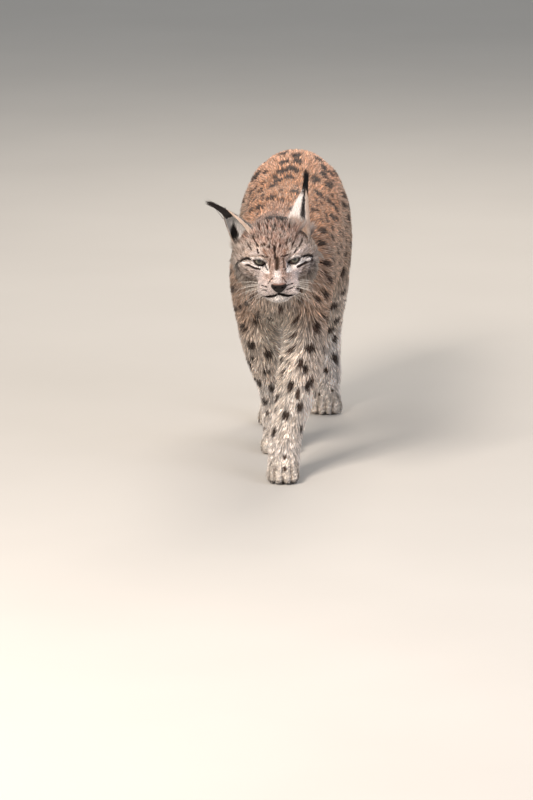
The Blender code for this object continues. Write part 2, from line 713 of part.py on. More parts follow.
def on_skin(head, points):
    """Points given in the head's axes, centimetres, moved onto its skin."""
    bm = bmesh.new()
    bm.from_mesh(head.data)
    tree = BVHTree.FromBMesh(bm)
    out = [tree.find_nearest(HEAD @ (Vector(point) * 0.01))[0] for point in points]
    bm.free()
    return out


def mouth(head, hidden):
    """Sinks the line of the mouth and the parting of the upper lip."""
    left = on_skin(head, MOUTH)
    right = on_skin(head, [mirrored(point, -1) for point in MOUTH])
    line = [point[:] for point in left + right[::-1]]
    groove = tube("groove", line, 0.0022, hidden)
    cut(head, groove)
    bpy.data.objects.remove(groove, do_unlink=True)
    parting = tube("parting", [point[:] for point in on_skin(head, PHILTRUM)], 0.0012, hidden)
    cut(head, parting)
    bpy.data.objects.remove(parting, do_unlink=True)


def frame_of(way, look):
    """Axes with Z along the way and -Y towards the look."""
    up = Vector(way).normalized()
    back = -(Vector(look) - up * up.dot(Vector(look))).normalized()
    side = back.cross(up)
    return Matrix((side, back, up)).transposed().to_4x4()


def ear(name, home):
    """The cup of an ear: a leaf rolled round its length, with a wall that thins to the tip."""
    root, way, look, _ = EARS[name]
    bm = bmesh.new()
    rows, columns = 10, 12
    skins = ([], [])
    for i in range(rows):
        t = i / (rows - 1)
        z = EAR_LENGTH * (-0.14 + 1.14 * t)
        wide = EAR_WIDTH * (0.90 + 0.10 * t) * (1 - t**1.6) ** 0.85 + 0.0026
        wall = EAR_WALL * (1 - 0.7 * t)
        sweep = math.radians(140 - 62 * t**0.7)
        for skin, inset in zip(skins, (0.0, wall)):
            row = []
            for k in range(columns):
                u = -1 + 2 * k / (columns - 1)
                angle = u * sweep
                x = (wide - inset) * math.sin(angle)
                y = (wide * 0.80 - inset) * math.cos(angle)
                row.append(bm.verts.new((x, y, z - 0.012 * u * u * (1 - t))))
            skin.append(row)
    outer, inner = skins
    for low, high in zip(range(rows - 1), range(1, rows)):
        for k in range(columns - 1):
            bm.faces.new((outer[low][k], outer[low][k + 1], outer[high][k + 1], outer[high][k]))
            bm.faces.new((inner[low][k], inner[high][k], inner[high][k + 1], inner[low][k + 1]))
        for k in (0, columns - 1):
            bm.faces.new((outer[low][k], outer[high][k], inner[high][k], inner[low][k]))
    for i in (0, rows - 1):
        for k in range(columns - 1):
            bm.faces.new((outer[i][k], outer[i][k + 1], inner[i][k + 1], inner[i][k]))
    bmesh.ops.triangulate(bm, faces=bm.faces)
    obj = finish_mesh(name, bm, home)
    place = Matrix.Translation([v * 0.01 for v in root]) @ frame_of(way, look)
    obj.data.transform(HEAD @ place)
    return obj


def lock(name, start, bend, tip, width, thick, face, home, rows=5):
    """A flat lock of hair: wide near its root, bending, tapering to its tip, `face` its flat side."""
    start, bend, tip = Vector(start), Vector(bend), Vector(tip)
    bm = bmesh.new()
    loops = []
    for i in range(rows):
        t = i / rows
        middle = start.lerp(bend, t).lerp(bend.lerp(tip, t), t)
        way = (bend - start).lerp(tip - bend, t).normalized()
        side = way.cross(Vector(face)).normalized()
        up = side.cross(way)
        wide = width * 0.5 * (0.72 + 0.9 * t - 1.62 * t * t)
        high = thick * 0.5 * (1 - 0.75 * t)
        corners = ((1, -0.1), (0.15, 1), (-1, -0.1), (-0.15, -1))
        loops.append([bm.verts.new(middle + side * wide * c + up * high * s) for c, s in corners])
    for low, high in zip(loops, loops[1:]):
        for k in range(4):
            bm.faces.new((low[k], low[(k + 1) % 4], high[(k + 1) % 4], high[k]))
    end = bm.verts.new(tip)
    for k in range(4):
        bm.faces.new((loops[-1][k], loops[-1][(k + 1) % 4], end))
    bm.faces.new(loops[0][::-1])
    bmesh.ops.triangulate(bm, faces=bm.faces)
    return finish_mesh(name, bm, home)


def grow(node, locks, name):
    """Fuses locks to the piece that they grow from, in one union."""
    group = bpy.data.collections.new(name)
    bpy.context.scene.collection.children.link(group)
    for obj in locks:
        for home in obj.users_collection:
            home.objects.unlink(obj)
        group.objects.link(obj)
    fuse = node.modifiers.new("fuse", "BOOLEAN")
    fuse.operation = "UNION"
    fuse.operand_type = "COLLECTION"
    fuse.collection = group
    fuse.solver = "EXACT"
    apply_modifiers(node)
    for obj in locks:
        bpy.data.objects.remove(obj, do_unlink=True)
    bpy.data.collections.remove(group)
    largest_part(node)


def ear_tuft(node, name, chance, hidden):
    """The pencil of hair on the tip of an ear, of a few long locks that part towards their ends."""
    root, way, look, bend = EARS[name]
    up, look = Vector(way).normalized(), Vector(look).normalized()
    tip = Vector(root) * 0.01 + up * EAR_LENGTH
    across = up.cross(look).normalized()
    locks = []
    for i in range(TUFT_LOCKS):
        place = -1 + 2 * i / (TUFT_LOCKS - 1)
        curl = Vector(bend).normalized() + across * 0.16 * place + look * chance.uniform(-0.1, 0.1)
        long = TUFT_LENGTH * chance.uniform(0.70, 1.0)
        start = tip - up * (0.012 + 0.010 * abs(place)) + across * 0.0028 * place * (1 + abs(place))
        middle = tip + up * long * 0.40 + across * 0.0022 * place
        end = tip + (up * 0.35 + curl.normalized()).normalized() * long
        made = lock("tuft", start, middle, end, 0.0066, 0.0036, look, hidden, rows=4)
        made.data.transform(HEAD)
        locks.append(made)
    grow(node, locks, "tuft_locks")


def skin_of(objects):
    """A tree of the surfaces of several pieces."""
    points, faces = [], []
    for obj in objects:
        first = len(points)
        points += [vertex.co[:] for vertex in obj.data.vertices]
        faces += [[first + k for k in face.vertices] for face in obj.data.polygons]
    return BVHTree.FromPolygons(points, faces)


def ruff(head, neck, chance, hidden):
    """Overlapping locks down both cheeks that follow the skin, their tips just off it."""
    tree = skin_of([head, neck])
    turn = HEAD.to_3x3()
    locks = []
    for line, ways, length, count in RUFF:
        roots = spline(line, 12)
        for side in (1, -1):
            for i in range(count):
                share = min(max((i + chance.uniform(-0.2, 0.2)) / (count - 1), 0), 1)
                spot = roots[round(share * (len(roots) - 1))]
                place, normal = tree.find_nearest(HEAD @ (Vector(mirrored(spot, side)) * 0.01))[:2]
                way = turn @ Vector(mirrored(Vector(ways[0]).lerp(Vector(ways[1]), share), side))
                way = (way - normal * way.dot(normal)).normalized()
                way.rotate(Quaternion(normal, chance.uniform(-0.14, 0.14)))
                long = length * chance.uniform(0.85, 1.12)
                bend, lean = tree.find_nearest(place + way * long * 0.55)[:2]
                bend += lean * 0.0065
                way = (bend + lean * 0.002 - place).normalized()
                end, lean = tree.find_nearest(bend + way * long * 0.5)[:2]
                end += lean * chance.uniform(0.0045, 0.0075)
                start = place - normal * 0.003 - way * 0.006
                locks.append(lock("ruff", start, bend, end, 0.0175, 0.0050, normal + lean, hidden, rows=4))
    return locks


def clear_of(node, other, hidden):
    """Cuts a piece back from another by the gap."""
    near = other.copy()
    near.data = other.data.copy()
    near.name = "near"
    hidden.objects.link(near)
    grow_out = near.modifiers.new("grow", "DISPLACE")
    grow_out.strength, grow_out.mid_level = GAP * 1.3, 0.0
    apply_modifiers(near)
    cut(node, near)
    bpy.data.objects.remove(near, do_unlink=True)
    largest_part(node)


def ears(head, chance, home, hidden):
    """Seats both ears on the head with a hair's breadth between."""
    made = {}
    for name in EARS:
        made[name] = ear(name, home)
        clear_of(head, made[name], hidden)
        ear_tuft(made[name], name, chance, hidden)
    return made


def whole_body(home, hidden):
    """All masses made one surface: fused, blended and thinned, finer on the face."""
    body = join(body_forms(home) + head_forms(home), "body")
    fuse = body.modifiers.new("fuse", "REMESH")
    fuse.mode = "VOXEL"
    fuse.voxel_size = VOXEL
    apply_modifiers(body)
    near_head(body)
    blend = body.modifiers.new("blend", "SMOOTH")
    blend.factor, blend.iterations = 0.5, 34
    blend.vertex_group, blend.invert_vertex_group = "face", True
    settle = body.modifiers.new("settle", "SMOOTH")
    settle.factor, settle.iterations = 0.5, 3
    thin = body.modifiers.new("thin", "DECIMATE")
    thin.ratio = BODY_TRIANGLES / (2 * len(body.data.polygons))
    thin.vertex_group, thin.vertex_group_factor = "coarse", FACE_KEEP
    apply_modifiers(body)
    flat_soles(body, hidden)
    return body


def colour(pieces):
    """Gives every piece a material of its own."""
    for name, obj in pieces.items():
        coat = next(COAT_OF[start] for start in COAT_OF if name.startswith(start))
        tint, roughness = COATS[coat]
        material = bpy.data.materials.new(f"{name}_{coat}")
        material.use_nodes = True
        shader = material.node_tree.nodes["Principled BSDF"]
        shader.inputs["Base Color"].default_value = (*tint, 1)
        shader.inputs["Roughness"].default_value = roughness
        obj.data.materials.clear()
        obj.data.materials.append(material)


def rest_on_middle(objects):
    """Moves everything so that the middle of its footprint is the origin."""
    points = np.array([vertex.co[:] for obj in objects for vertex in obj.data.vertices])
    middle = (points.min(axis=0) + points.max(axis=0)) / 2
    for obj in objects:
        obj.data.transform(Matrix.Translation((-middle[0], -middle[1], 0)))


def main():
    clear_scene()
    chance = random.Random(11)
    lynx = new_collection("eurasian_lynx")
    hidden = new_collection("cutters", hidden=True)
    body = whole_body(lynx, hidden)
    pieces = part_body(body, lynx, hidden)
    head = pieces["head"]
    pieces.update(ears(head, chance, lynx, hidden))
    pieces["nose"] = nose(head, lynx, hidden)
    mouth(head, hidden)
    pieces.update(eyes(head, lynx, hidden))
    grow(head, ruff(head, pieces["neck"], chance, hidden), "ruff_locks")
    clear_of(head, pieces["neck"], hidden)
    rest_on_middle(pieces.values())
    colour(pieces)


main()
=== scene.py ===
import math

import bmesh
import bpy
import numpy as np
from mathutils import Matrix, Vector
from mathutils.bvhtree import BVHTree
from mathutils.kdtree import KDTree


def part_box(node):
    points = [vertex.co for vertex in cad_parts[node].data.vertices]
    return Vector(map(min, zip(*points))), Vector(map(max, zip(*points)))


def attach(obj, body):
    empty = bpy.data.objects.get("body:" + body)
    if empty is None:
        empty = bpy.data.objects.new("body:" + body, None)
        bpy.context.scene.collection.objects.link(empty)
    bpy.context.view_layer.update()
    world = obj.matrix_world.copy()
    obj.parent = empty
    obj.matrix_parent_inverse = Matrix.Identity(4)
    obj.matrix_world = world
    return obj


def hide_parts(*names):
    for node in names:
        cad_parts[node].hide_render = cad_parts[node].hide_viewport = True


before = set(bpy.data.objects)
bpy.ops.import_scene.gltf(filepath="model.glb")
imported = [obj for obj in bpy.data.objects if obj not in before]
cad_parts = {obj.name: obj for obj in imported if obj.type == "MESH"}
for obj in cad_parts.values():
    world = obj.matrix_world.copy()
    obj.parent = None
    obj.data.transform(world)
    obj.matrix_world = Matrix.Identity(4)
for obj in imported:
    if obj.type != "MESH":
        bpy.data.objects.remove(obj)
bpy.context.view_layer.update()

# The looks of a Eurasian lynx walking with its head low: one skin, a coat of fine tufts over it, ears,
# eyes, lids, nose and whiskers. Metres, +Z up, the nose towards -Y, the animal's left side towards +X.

chance = np.random.default_rng(7)

# Camera: the photograph's viewing angle, and the pixel where its frame holds the middle between the eyes
VIEW_TURN, VIEW_RISE = math.radians(2.0), math.radians(12.0)
VIEW_DISTANCE = 12.3
SENSOR_WIDTH = 36.0
PIXELS_PER_METRE = 477.7
PHOTO_WIDE, PHOTO_HIGH = 533, 800
EYES_IN_PHOTO = (276.8, 260.3)

# The head's own axes: its turn, and the eyeball in them
TURN = (
    Matrix.Rotation(math.radians(5.0), 4, "Z")
    @ Matrix.Rotation(math.radians(13.0), 4, "X")
    @ Matrix.Rotation(math.radians(-2.5), 4, "Y")
)
EYE_CENTRE = Vector((0.0370, 0.0085, -0.0010))
EYE_RADIUS = 0.0142
CORNEA_BULGE, CORNEA_EDGE = 0.075, 0.66  # share of the radius; radians from the pupil's middle
GAZE_RISE = math.radians(13.5)
MODEL_EYES = Vector((-0.015, -0.360, 0.509))  # the head's origin in the rows of the body below


def middle(node):
    """Middle of a node's box."""
    low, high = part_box(node)
    return (Vector(low) + Vector(high)) / 2


eyes_middle = (middle("eye_left") + middle("eye_right")) / 2
HEAD_AT = eyes_middle - TURN.to_3x3() @ Vector((0.0, EYE_CENTRE.y, EYE_CENTRE.z))
HEAD = Matrix.Translation(HEAD_AT) @ TURN
TURN3 = np.array(TURN.to_3x3())
SHIFT = np.array(HEAD_AT - MODEL_EYES)

# Masses of the head in its own axes, centimetres: middle, half sizes, turn about the side axis in
# degrees, and how softly each flows into the others. Those off the middle are mirrored.
HEAD_MASSES = [
    ((0.0, 6.2, 0.5), (7.3, 6.5, 6.2), 0, 1.0),  # cranium
    ((0.0, 2.9, 2.3), (4.8, 3.4, 2.8), -25, 1.8),  # forehead
    ((5.5, 4.8, -1.1), (3.4, 4.4, 3.9), 0, 1.6),  # cheek
    ((4.6, 6.6, -4.0), (3.8, 4.4, 3.7), 0, 1.8),  # angle of the jaw
    ((3.5, 1.2, 1.80), (2.5, 1.5, 1.1), 0, 1.9),  # brow
    ((3.72, 1.05, -0.12), (1.95, 1.75, 1.55), 0, 0.5),  # lids over the eye
    ((4.0, 1.1, -2.6), (2.5, 2.4, 1.9), 0, 1.7),  # under the eye
    ((2.00, -2.2, -3.65), (2.50, 3.4, 2.35), 14, 1.5),  # side of the muzzle
    ((2.55, -4.2, -4.35), (2.20, 2.25, 1.70), 0, 1.3),  # whisker pad
    ((0.0, -5.40, -3.00), (1.70, 1.50, 1.40), 0, 1.1),  # nose
    ((0.0, -2.3, -5.6), (3.4, 4.2, 1.9), 8, 1.3),  # lower jaw
    ((0.0, -4.3, -6.30), (2.00, 1.55, 1.20), 0, 0.9),  # chin
    ((0.0, 3.8, -5.3), (4.4, 5.0, 2.6), 0, 1.8),  # throat
]
FACE_START = -11.0  # along the head's axis, well before the nose

# Bridge of the nose: one end and its radius, the other end and its, how much it is narrowed, and how softly
# it flows into the masses
BRIDGE = ((0.0, 0.7, 0.6), 2.20, (0.0, -5.3, -3.0), 1.75, 0.90, 1.4)
# Hollows on both sides: middle, half sizes, softness
HEAD_HOLLOWS = [
    ((2.40, -0.95, -0.80), (0.60, 0.9, 0.55), 1.0),  # inner corner of the eye
    ((5.6, -2.4, -4.8), (1.6, 2.4, 1.6), 1.3),  # between the whisker pad and the cheek
]
# Edges of the left lids, their middle and how thick they lie on the eyeball, seen from the front
UPPER_LID = [(2.45, -0.74), (2.72, -0.22), (3.15, 0.20), (3.70, 0.44), (4.30, 0.50), (4.95, 0.36)]
LOWER_LID = [
    (2.45, -0.74), (2.85, -0.84), (3.30, -0.82), (3.80, -0.68), (4.28, -0.44), (4.68, -0.10), (4.95, 0.36),
]
LID_MIDDLE = (3.68, -0.14)
LID_THICKNESS = 0.15
# Centimetres: how far outside the opening the skin begins, its gap over the eyeball, and how far back it
# goes behind the opening
SKIN_EDGE, SKIN_GAP, SKIN_BACK = 0.12, 0.09, 1.1
# Rings of a lid: how far outside the opening, how far behind its level, share of the face's own level
LID_RINGS = [
    (-0.01, 0.30, 0), (-0.015, 0.10, 0), (0.0, 0.0, 0), (0.035, -0.05, 0), (0.09, -0.04, 0.20),
    (0.15, 0.00, 0.55), (0.22, 0.08, 0.85), (0.32, 0.30, 1.0),
]
# Left half of the leather's outline and its middle, seen from the front
NOSE_LINE = [
    (0.0, -2.30), (0.95, -2.26), (1.60, -2.60), (1.62, -3.20), (1.15, -3.78), (0.50, -4.45), (0.0, -4.62),
]
NOSE_MIDDLE = (0.0, -3.2)
NOSE_FRONT = -4.6  # behind this the leather's outline says nothing
LEATHER_LEVEL, LID_LEVEL = -0.06, -0.14  # how deep in the coat's level the leather and the lids lie
# Rings of the eye from the pupil's middle out, as shares of the way round to the back, and their colours
# the iris's colours are darkened all over, partly as its own dark grey and partly as painted shade from the
# upper lid
EYE_RINGS = [
    (0.0, "#040303"), (0.070, "#040303"), (0.078, "#45433A"), (0.12, "#656255"), (0.165, "#46443A"),
    (0.185, "#17130F"), (0.21, "#3A2A22"), (0.5, "#6E564A"),
]
# Grooves of the mouth and of the parting under the nose, metres: depth and half width; and the lips' roll
# beside the mouth: height, half width and place
MOUTH_GROOVE, PARTING_GROOVE, LIP_ROLL = (0.0030, 0.0016), (0.0016, 0.0011), (0.0008, 0.0018, 0.0038)
# Left half of the mouth's line from the corner in, and the parting, roughly on the skin
MOUTH = [(4.6, -2.2, -3.9), (4.0, -4.0, -4.6), (2.8, -5.5, -5.20), (1.4, -6.2, -5.38), (0.0, -6.5, -5.10)]
PHILTRUM = [(0.0, -6.6, -4.35), (0.0, -6.6, -4.75), (0.0, -6.6, -5.1)]
# Ears: root, way the ear stands, way its cup looks, way its tuft bends
EARS = {
    "ear_left": ((5.4, 7.0, 4.7), (0.20, 0.50, 0.80), (0.86, 0.50, -0.20), (0.00, 0.50, 0.95)),
    "ear_right": ((-6.5, 6.3, 2.8), (-0.52, -0.05, 0.85), (-0.50, -0.84, -0.10), (-0.95, -0.05, 0.30)),
}
EAR_LENGTH, EAR_WIDTH, EAR_TUFT = 0.080, 0.031, 0.048
EAR_FOOT = 0.14  # share of the length that is sunk in the head
EAR_WALL, EAR_TIP_WIDTH, EAR_FUR_DEPTH, EAR_SIDES_DROP = 0.0030, 0.0024, 0.0012, 0.021
EAR_ROLL, EAR_UNROLL = 140, 62  # degrees to each side at the foot, and how many fewer at the tip
BACK_TUFTS, CUP_TUFTS, TIP_TUFTS, EAR_ROOT_TUFTS = 4600, 3600, 420, 620  # of each ear
LOCK_TUFTS = 36
# Rows of locks of the ruff on the left cheek: rough roots from the ear down, the ways that the first
# and the last lie, length, count
RUFF = [
    ([(8.4, 4.6, 1.6), (8.8, 5.0, -1.2), (8.0, 4.6, -3.8), (5.6, 3.8, -6.4)],
     ((0.1, 0.75, -0.6), (0.0, 0.4, -0.9)), 0.044, 17),
    ([(8.2, 2.4, -0.2), (8.2, 2.4, -2.4), (7.2, 2.6, -4.4), (5.4, 2.2, -5.8)],
     ((0.1, 0.7, -0.7), (0.0, 0.5, -0.85)), 0.038, 15),
]

# Rows of the body, metres: trunk as along, across, top, low, half width; neck as middle, half width and
# half height; legs and tail as places from the body outwards
TRUNK = [
    (-0.130, -0.018, 0.545, 0.338, 0.084), (-0.070, -0.017, 0.582, 0.312, 0.100),
    (0.000, -0.014, 0.597, 0.303, 0.108), (0.080, -0.010, 0.588, 0.302, 0.115),
    (0.180, -0.004, 0.580, 0.310, 0.119), (0.280, 0.000, 0.586, 0.325, 0.116),
    (0.365, 0.000, 0.602, 0.350, 0.107), (0.440, 0.000, 0.613, 0.380, 0.099),
    (0.500, 0.000, 0.606, 0.408, 0.088), (0.548, 0.000, 0.583, 0.440, 0.066),
]
NECK = [
    (-0.018, -0.100, 0.487, 0.083, 0.098), (-0.019, -0.170, 0.498, 0.077, 0.084),
    (-0.021, -0.240, 0.512, 0.070, 0.073),
]
LEGS = {
    "fore": [
        [(0.060, -0.066, 0.435), (0.047, -0.072, 0.360), (0.035, -0.088, 0.290), (0.025, -0.112, 0.225),
         (0.014, -0.138, 0.160), (0.001, -0.160, 0.108), (-0.005, -0.178, 0.062)],
        [(-0.083, -0.040, 0.435), (-0.078, -0.010, 0.360), (-0.063, 0.020, 0.285), (-0.050, 0.052, 0.220),
         (-0.036, 0.085, 0.160), (-0.028, 0.110, 0.108), (-0.025, 0.112, 0.062)],
    ],
    "hind": [
        [(0.078, 0.452, 0.415), (0.078, 0.452, 0.350), (0.076, 0.486, 0.285), (0.072, 0.530, 0.225),
         (0.070, 0.556, 0.180), (0.068, 0.552, 0.125), (0.067, 0.540, 0.070)],
        [(-0.080, 0.415, 0.415), (-0.078, 0.395, 0.350), (-0.070, 0.410, 0.285), (-0.062, 0.440, 0.225),
         (-0.055, 0.462, 0.178), (-0.050, 0.448, 0.125), (-0.046, 0.425, 0.072)],
    ],
}
LEG_STYLES = ["shoulder", "shoulder", "upper_leg", "upper_leg", "lower_leg", "lower_leg", "lower_leg"]
# Paws, left and right fore, then hind: middle across and along, half width and half length
PAWS = [(-0.006, -0.192), (-0.024, 0.102), (0.066, 0.520), (-0.043, 0.398)]
PAW_SIZES = [(0.040, 0.052), (0.040, 0.052), (0.037, 0.054), (0.037, 0.054)]
TOE_PARTINGS = (-0.46, 0.0, 0.46)  # across a paw, shares of its half width
TOE_GROOVE_DEPTH, TOE_GROOVE_HALF = 0.0055, 0.0026
TAIL = [(0.000, 0.565, 0.556), (0.001, 0.610, 0.530), (0.003, 0.634, 0.480), (0.005, 0.641, 0.425),
        (0.006, 0.641, 0.380)]

# painted shade: the skin under the tufts is darkened, as the depth of the coat lies in shadow
UNDERFUR_PAINTED_SHADE = 0.8  # of the coat's own colour
SKIN_GRAIN = 0.0053  # edge of the skin's faces before the face and the toes are made finer
SOLE_HEIGHT = 0.0008  # of the skin over the floor

# Kinds of coat: its depth over the skin, hair length, tuft width, how far the tips stand off
# (millimetres), tufts to the square centimetre, and its colour
DEPTH, LENGTH, WIDTH, STAND, TUFTS_TO_CM2 = range(5)
COATS = {
    "back": (7.0, 27, 1.8, 7.0, 10.5, "#C08C69"),
    "rump": (7.0, 28, 1.8, 7.0, 10.5, "#DFAA8A"),
    "flank": (7.0, 27, 1.8, 7.4, 10.5, "#BFA08A"),
    "belly": (9.0, 32, 2.5, 9.5, 7.0, "#DDD2C6"),
    "nape": (6.5, 24, 1.8, 7.4, 11.5, "#A98574"),
    # the neck's colour is partly its own and partly painted shade, darker for the shadow of the low head over
    # it
    "neck": (7.0, 27, 1.8, 9.0, 11.5, "#857062"),
    "throat": (8.0, 30, 1.8, 11.0, 11.0, "#CFC5BD"),
    "chest": (7.0, 30, 1.9, 10.0, 9.8, "#B0A093"),
    "shoulder": (5.0, 24, 1.8, 8.0, 10.4, "#B4A090"),
    "upper_leg": (2.6, 19, 1.6, 9.5, 12.5, "#DCCDC1"),
    "lower_leg": (1.6, 16, 1.4, 8.0, 15.0, "#F1E8E1"),
    "paw": (0.8, 12, 1.3, 6.0, 18.0, "#F0E6DB"),
    "brisket": (8.0, 46, 2.3, 17.0, 8.0, "#D9CDC0"),
    "tail": (7.5, 22, 2.1, 7.5, 10.0, "#B58E6D"),
    "tail_tip": (7.5, 22, 2.1, 7.5, 11.0, "#1D1716"),
    "crown": (4.5, 19, 1.4, 11.0, 18.0, "#957669"),
    "forehead": (2.6, 10, 1.1, 3.6, 26.0, "#9A7C6F"),
    "brow": (2.0, 7, 1.1, 2.2, 28.0, "#BDABA0"),
    "bridge": (1.2, 4.5, 0.9, 1.3, 38.0, "#9C8073"),
    "muzzle": (1.4, 5.5, 0.95, 1.8, 36.0, "#DACBC7"),
    "chin": (2.2, 9, 1.1, 2.8, 28.0, "#EEE6E1"),
    "cheek": (3.0, 13, 1.25, 4.4, 23.0, "#9F8E84"),
    "ruff": (6.0, 32, 1.6, 11.0, 16.0, "#968679"),
}
# Kinds whose hairs have dark bands
AGOUTI = ("back", "rump", "flank", "nape", "neck", "crown", "forehead", "chest", "shoulder")
# Where each kind of coat lies on the head, in its own axes, centimetres
HEAD_COATS = [
    ("crown", (0, 6, 7)), ("crown", (4, 6, 6)), ("crown", (0, 10, 6)), ("crown", (6, 9, 3)),
    ("forehead", (0, 1.5, 4.2)), ("forehead", (3, 2, 4)), ("forehead", (0, 0, 2.6)),
    ("brow", (3.6, -0.3, 1.9)), ("brow", (5.5, 1.2, 1.8)), ("bridge", (0, -2.2, 0.6)),
    ("bridge", (0, -4.8, -1.4)), ("bridge", (1.6, -3.0, -1.2)), ("muzzle", (2.2, -6.0, -4.2)),
    ("muzzle", (4.2, -4.2, -4.2)), ("muzzle", (3.4, -2.2, -2.4)), ("chin", (0, -5.6, -6.4)),
    ("chin", (1.6, -3.5, -7.2)), ("cheek", (6.4, 1.4, -0.6)), ("cheek", (5.6, 0.2, -3.2)),
    ("cheek", (4.6, -1.2, -5.6)), ("ruff", (8.6, 5.2, -1.8)), ("ruff", (7.6, 4.6, -5.0)),
    ("ruff", (5.4, 4.2, -7.6)), ("throat", (0, 2, -8)), ("throat", (0, 6, -8)),
]

# Pieces of the coat, and the nodes whose skin each covers; the face is the front of the head
PIECES = {
    "coat_face": [], "coat_head": ["head"], "coat_neck": ["neck"], "coat_chest": ["chest"],
    "coat_belly": ["belly"], "coat_hips": ["hips"], "coat_tail": ["tail", "tail_tip"],
    "coat_foreleg_left": ["foreleg_left", "forepaw_left"],
    "coat_foreleg_right": ["foreleg_right", "forepaw_right"],
    "coat_thigh_left": ["thigh_left"], "coat_thigh_right": ["thigh_right"],
    "coat_shank_left": ["shank_left", "hind_foot_left"],
    "coat_shank_right": ["shank_right", "hind_foot_right"],
}
# Nodes that the skin stands for
FLESH = ["head", "neck", "chest", "belly", "hips", "tail", "tail_tip", "foreleg_left", "foreleg_right",
         "forepaw_left", "forepaw_right", "thigh_left", "thigh_right", "shank_left", "shank_right",
         "hind_foot_left", "hind_foot_right"]
GREY_PIECES = ("coat_face", "coat_head", "coat_neck", "coat_chest")
PALE_PIECES = ("coat_foreleg_left", "coat_foreleg_right", "coat_shank_left", "coat_shank_right")
BARE_LID, BARE_LIP, BARE_SOLE = 0.17, 0.0016, 0.004  # no tuft this near: centimetres, metres, metres
WIDEST, MIDDLE_AT, TIP_AT = 0.42, 0.5, 0.97  # of a tuft's length
MOST_TUFTS = 19400  # of a piece, ten triangles each
TUFT_THICKNESS = 0.42  # of its width
TUFT_IN_MAP = 0.003  # of the map's side, the square that one tuft takes

# Dark spots of the back as the photograph's frame holds them, laid on the skin from the camera
BACK_SPOTS = [
    (285.8, 148.8), (294, 149.8), (313.6, 153), (283.7, 154.9), (295.9, 157.4), (263, 162.3), (318, 161),
    (284.4, 164.4), (297.1, 163.4), (291.4, 170.6), (323, 169.4), (281.8, 173.4), (259, 176), (289.5, 179),
    (278, 182.9), (322.5, 177), (314.4, 180.4), (326.5, 186), (273.5, 188.5), (294.6, 193.8), (317.3, 195),
    (271.6, 199.6), (256, 201.4), (333, 207.7), (331, 218),
]
BACK_SPOT_SIZE = (0.0170, 0.0118)  # half length and half width, metres
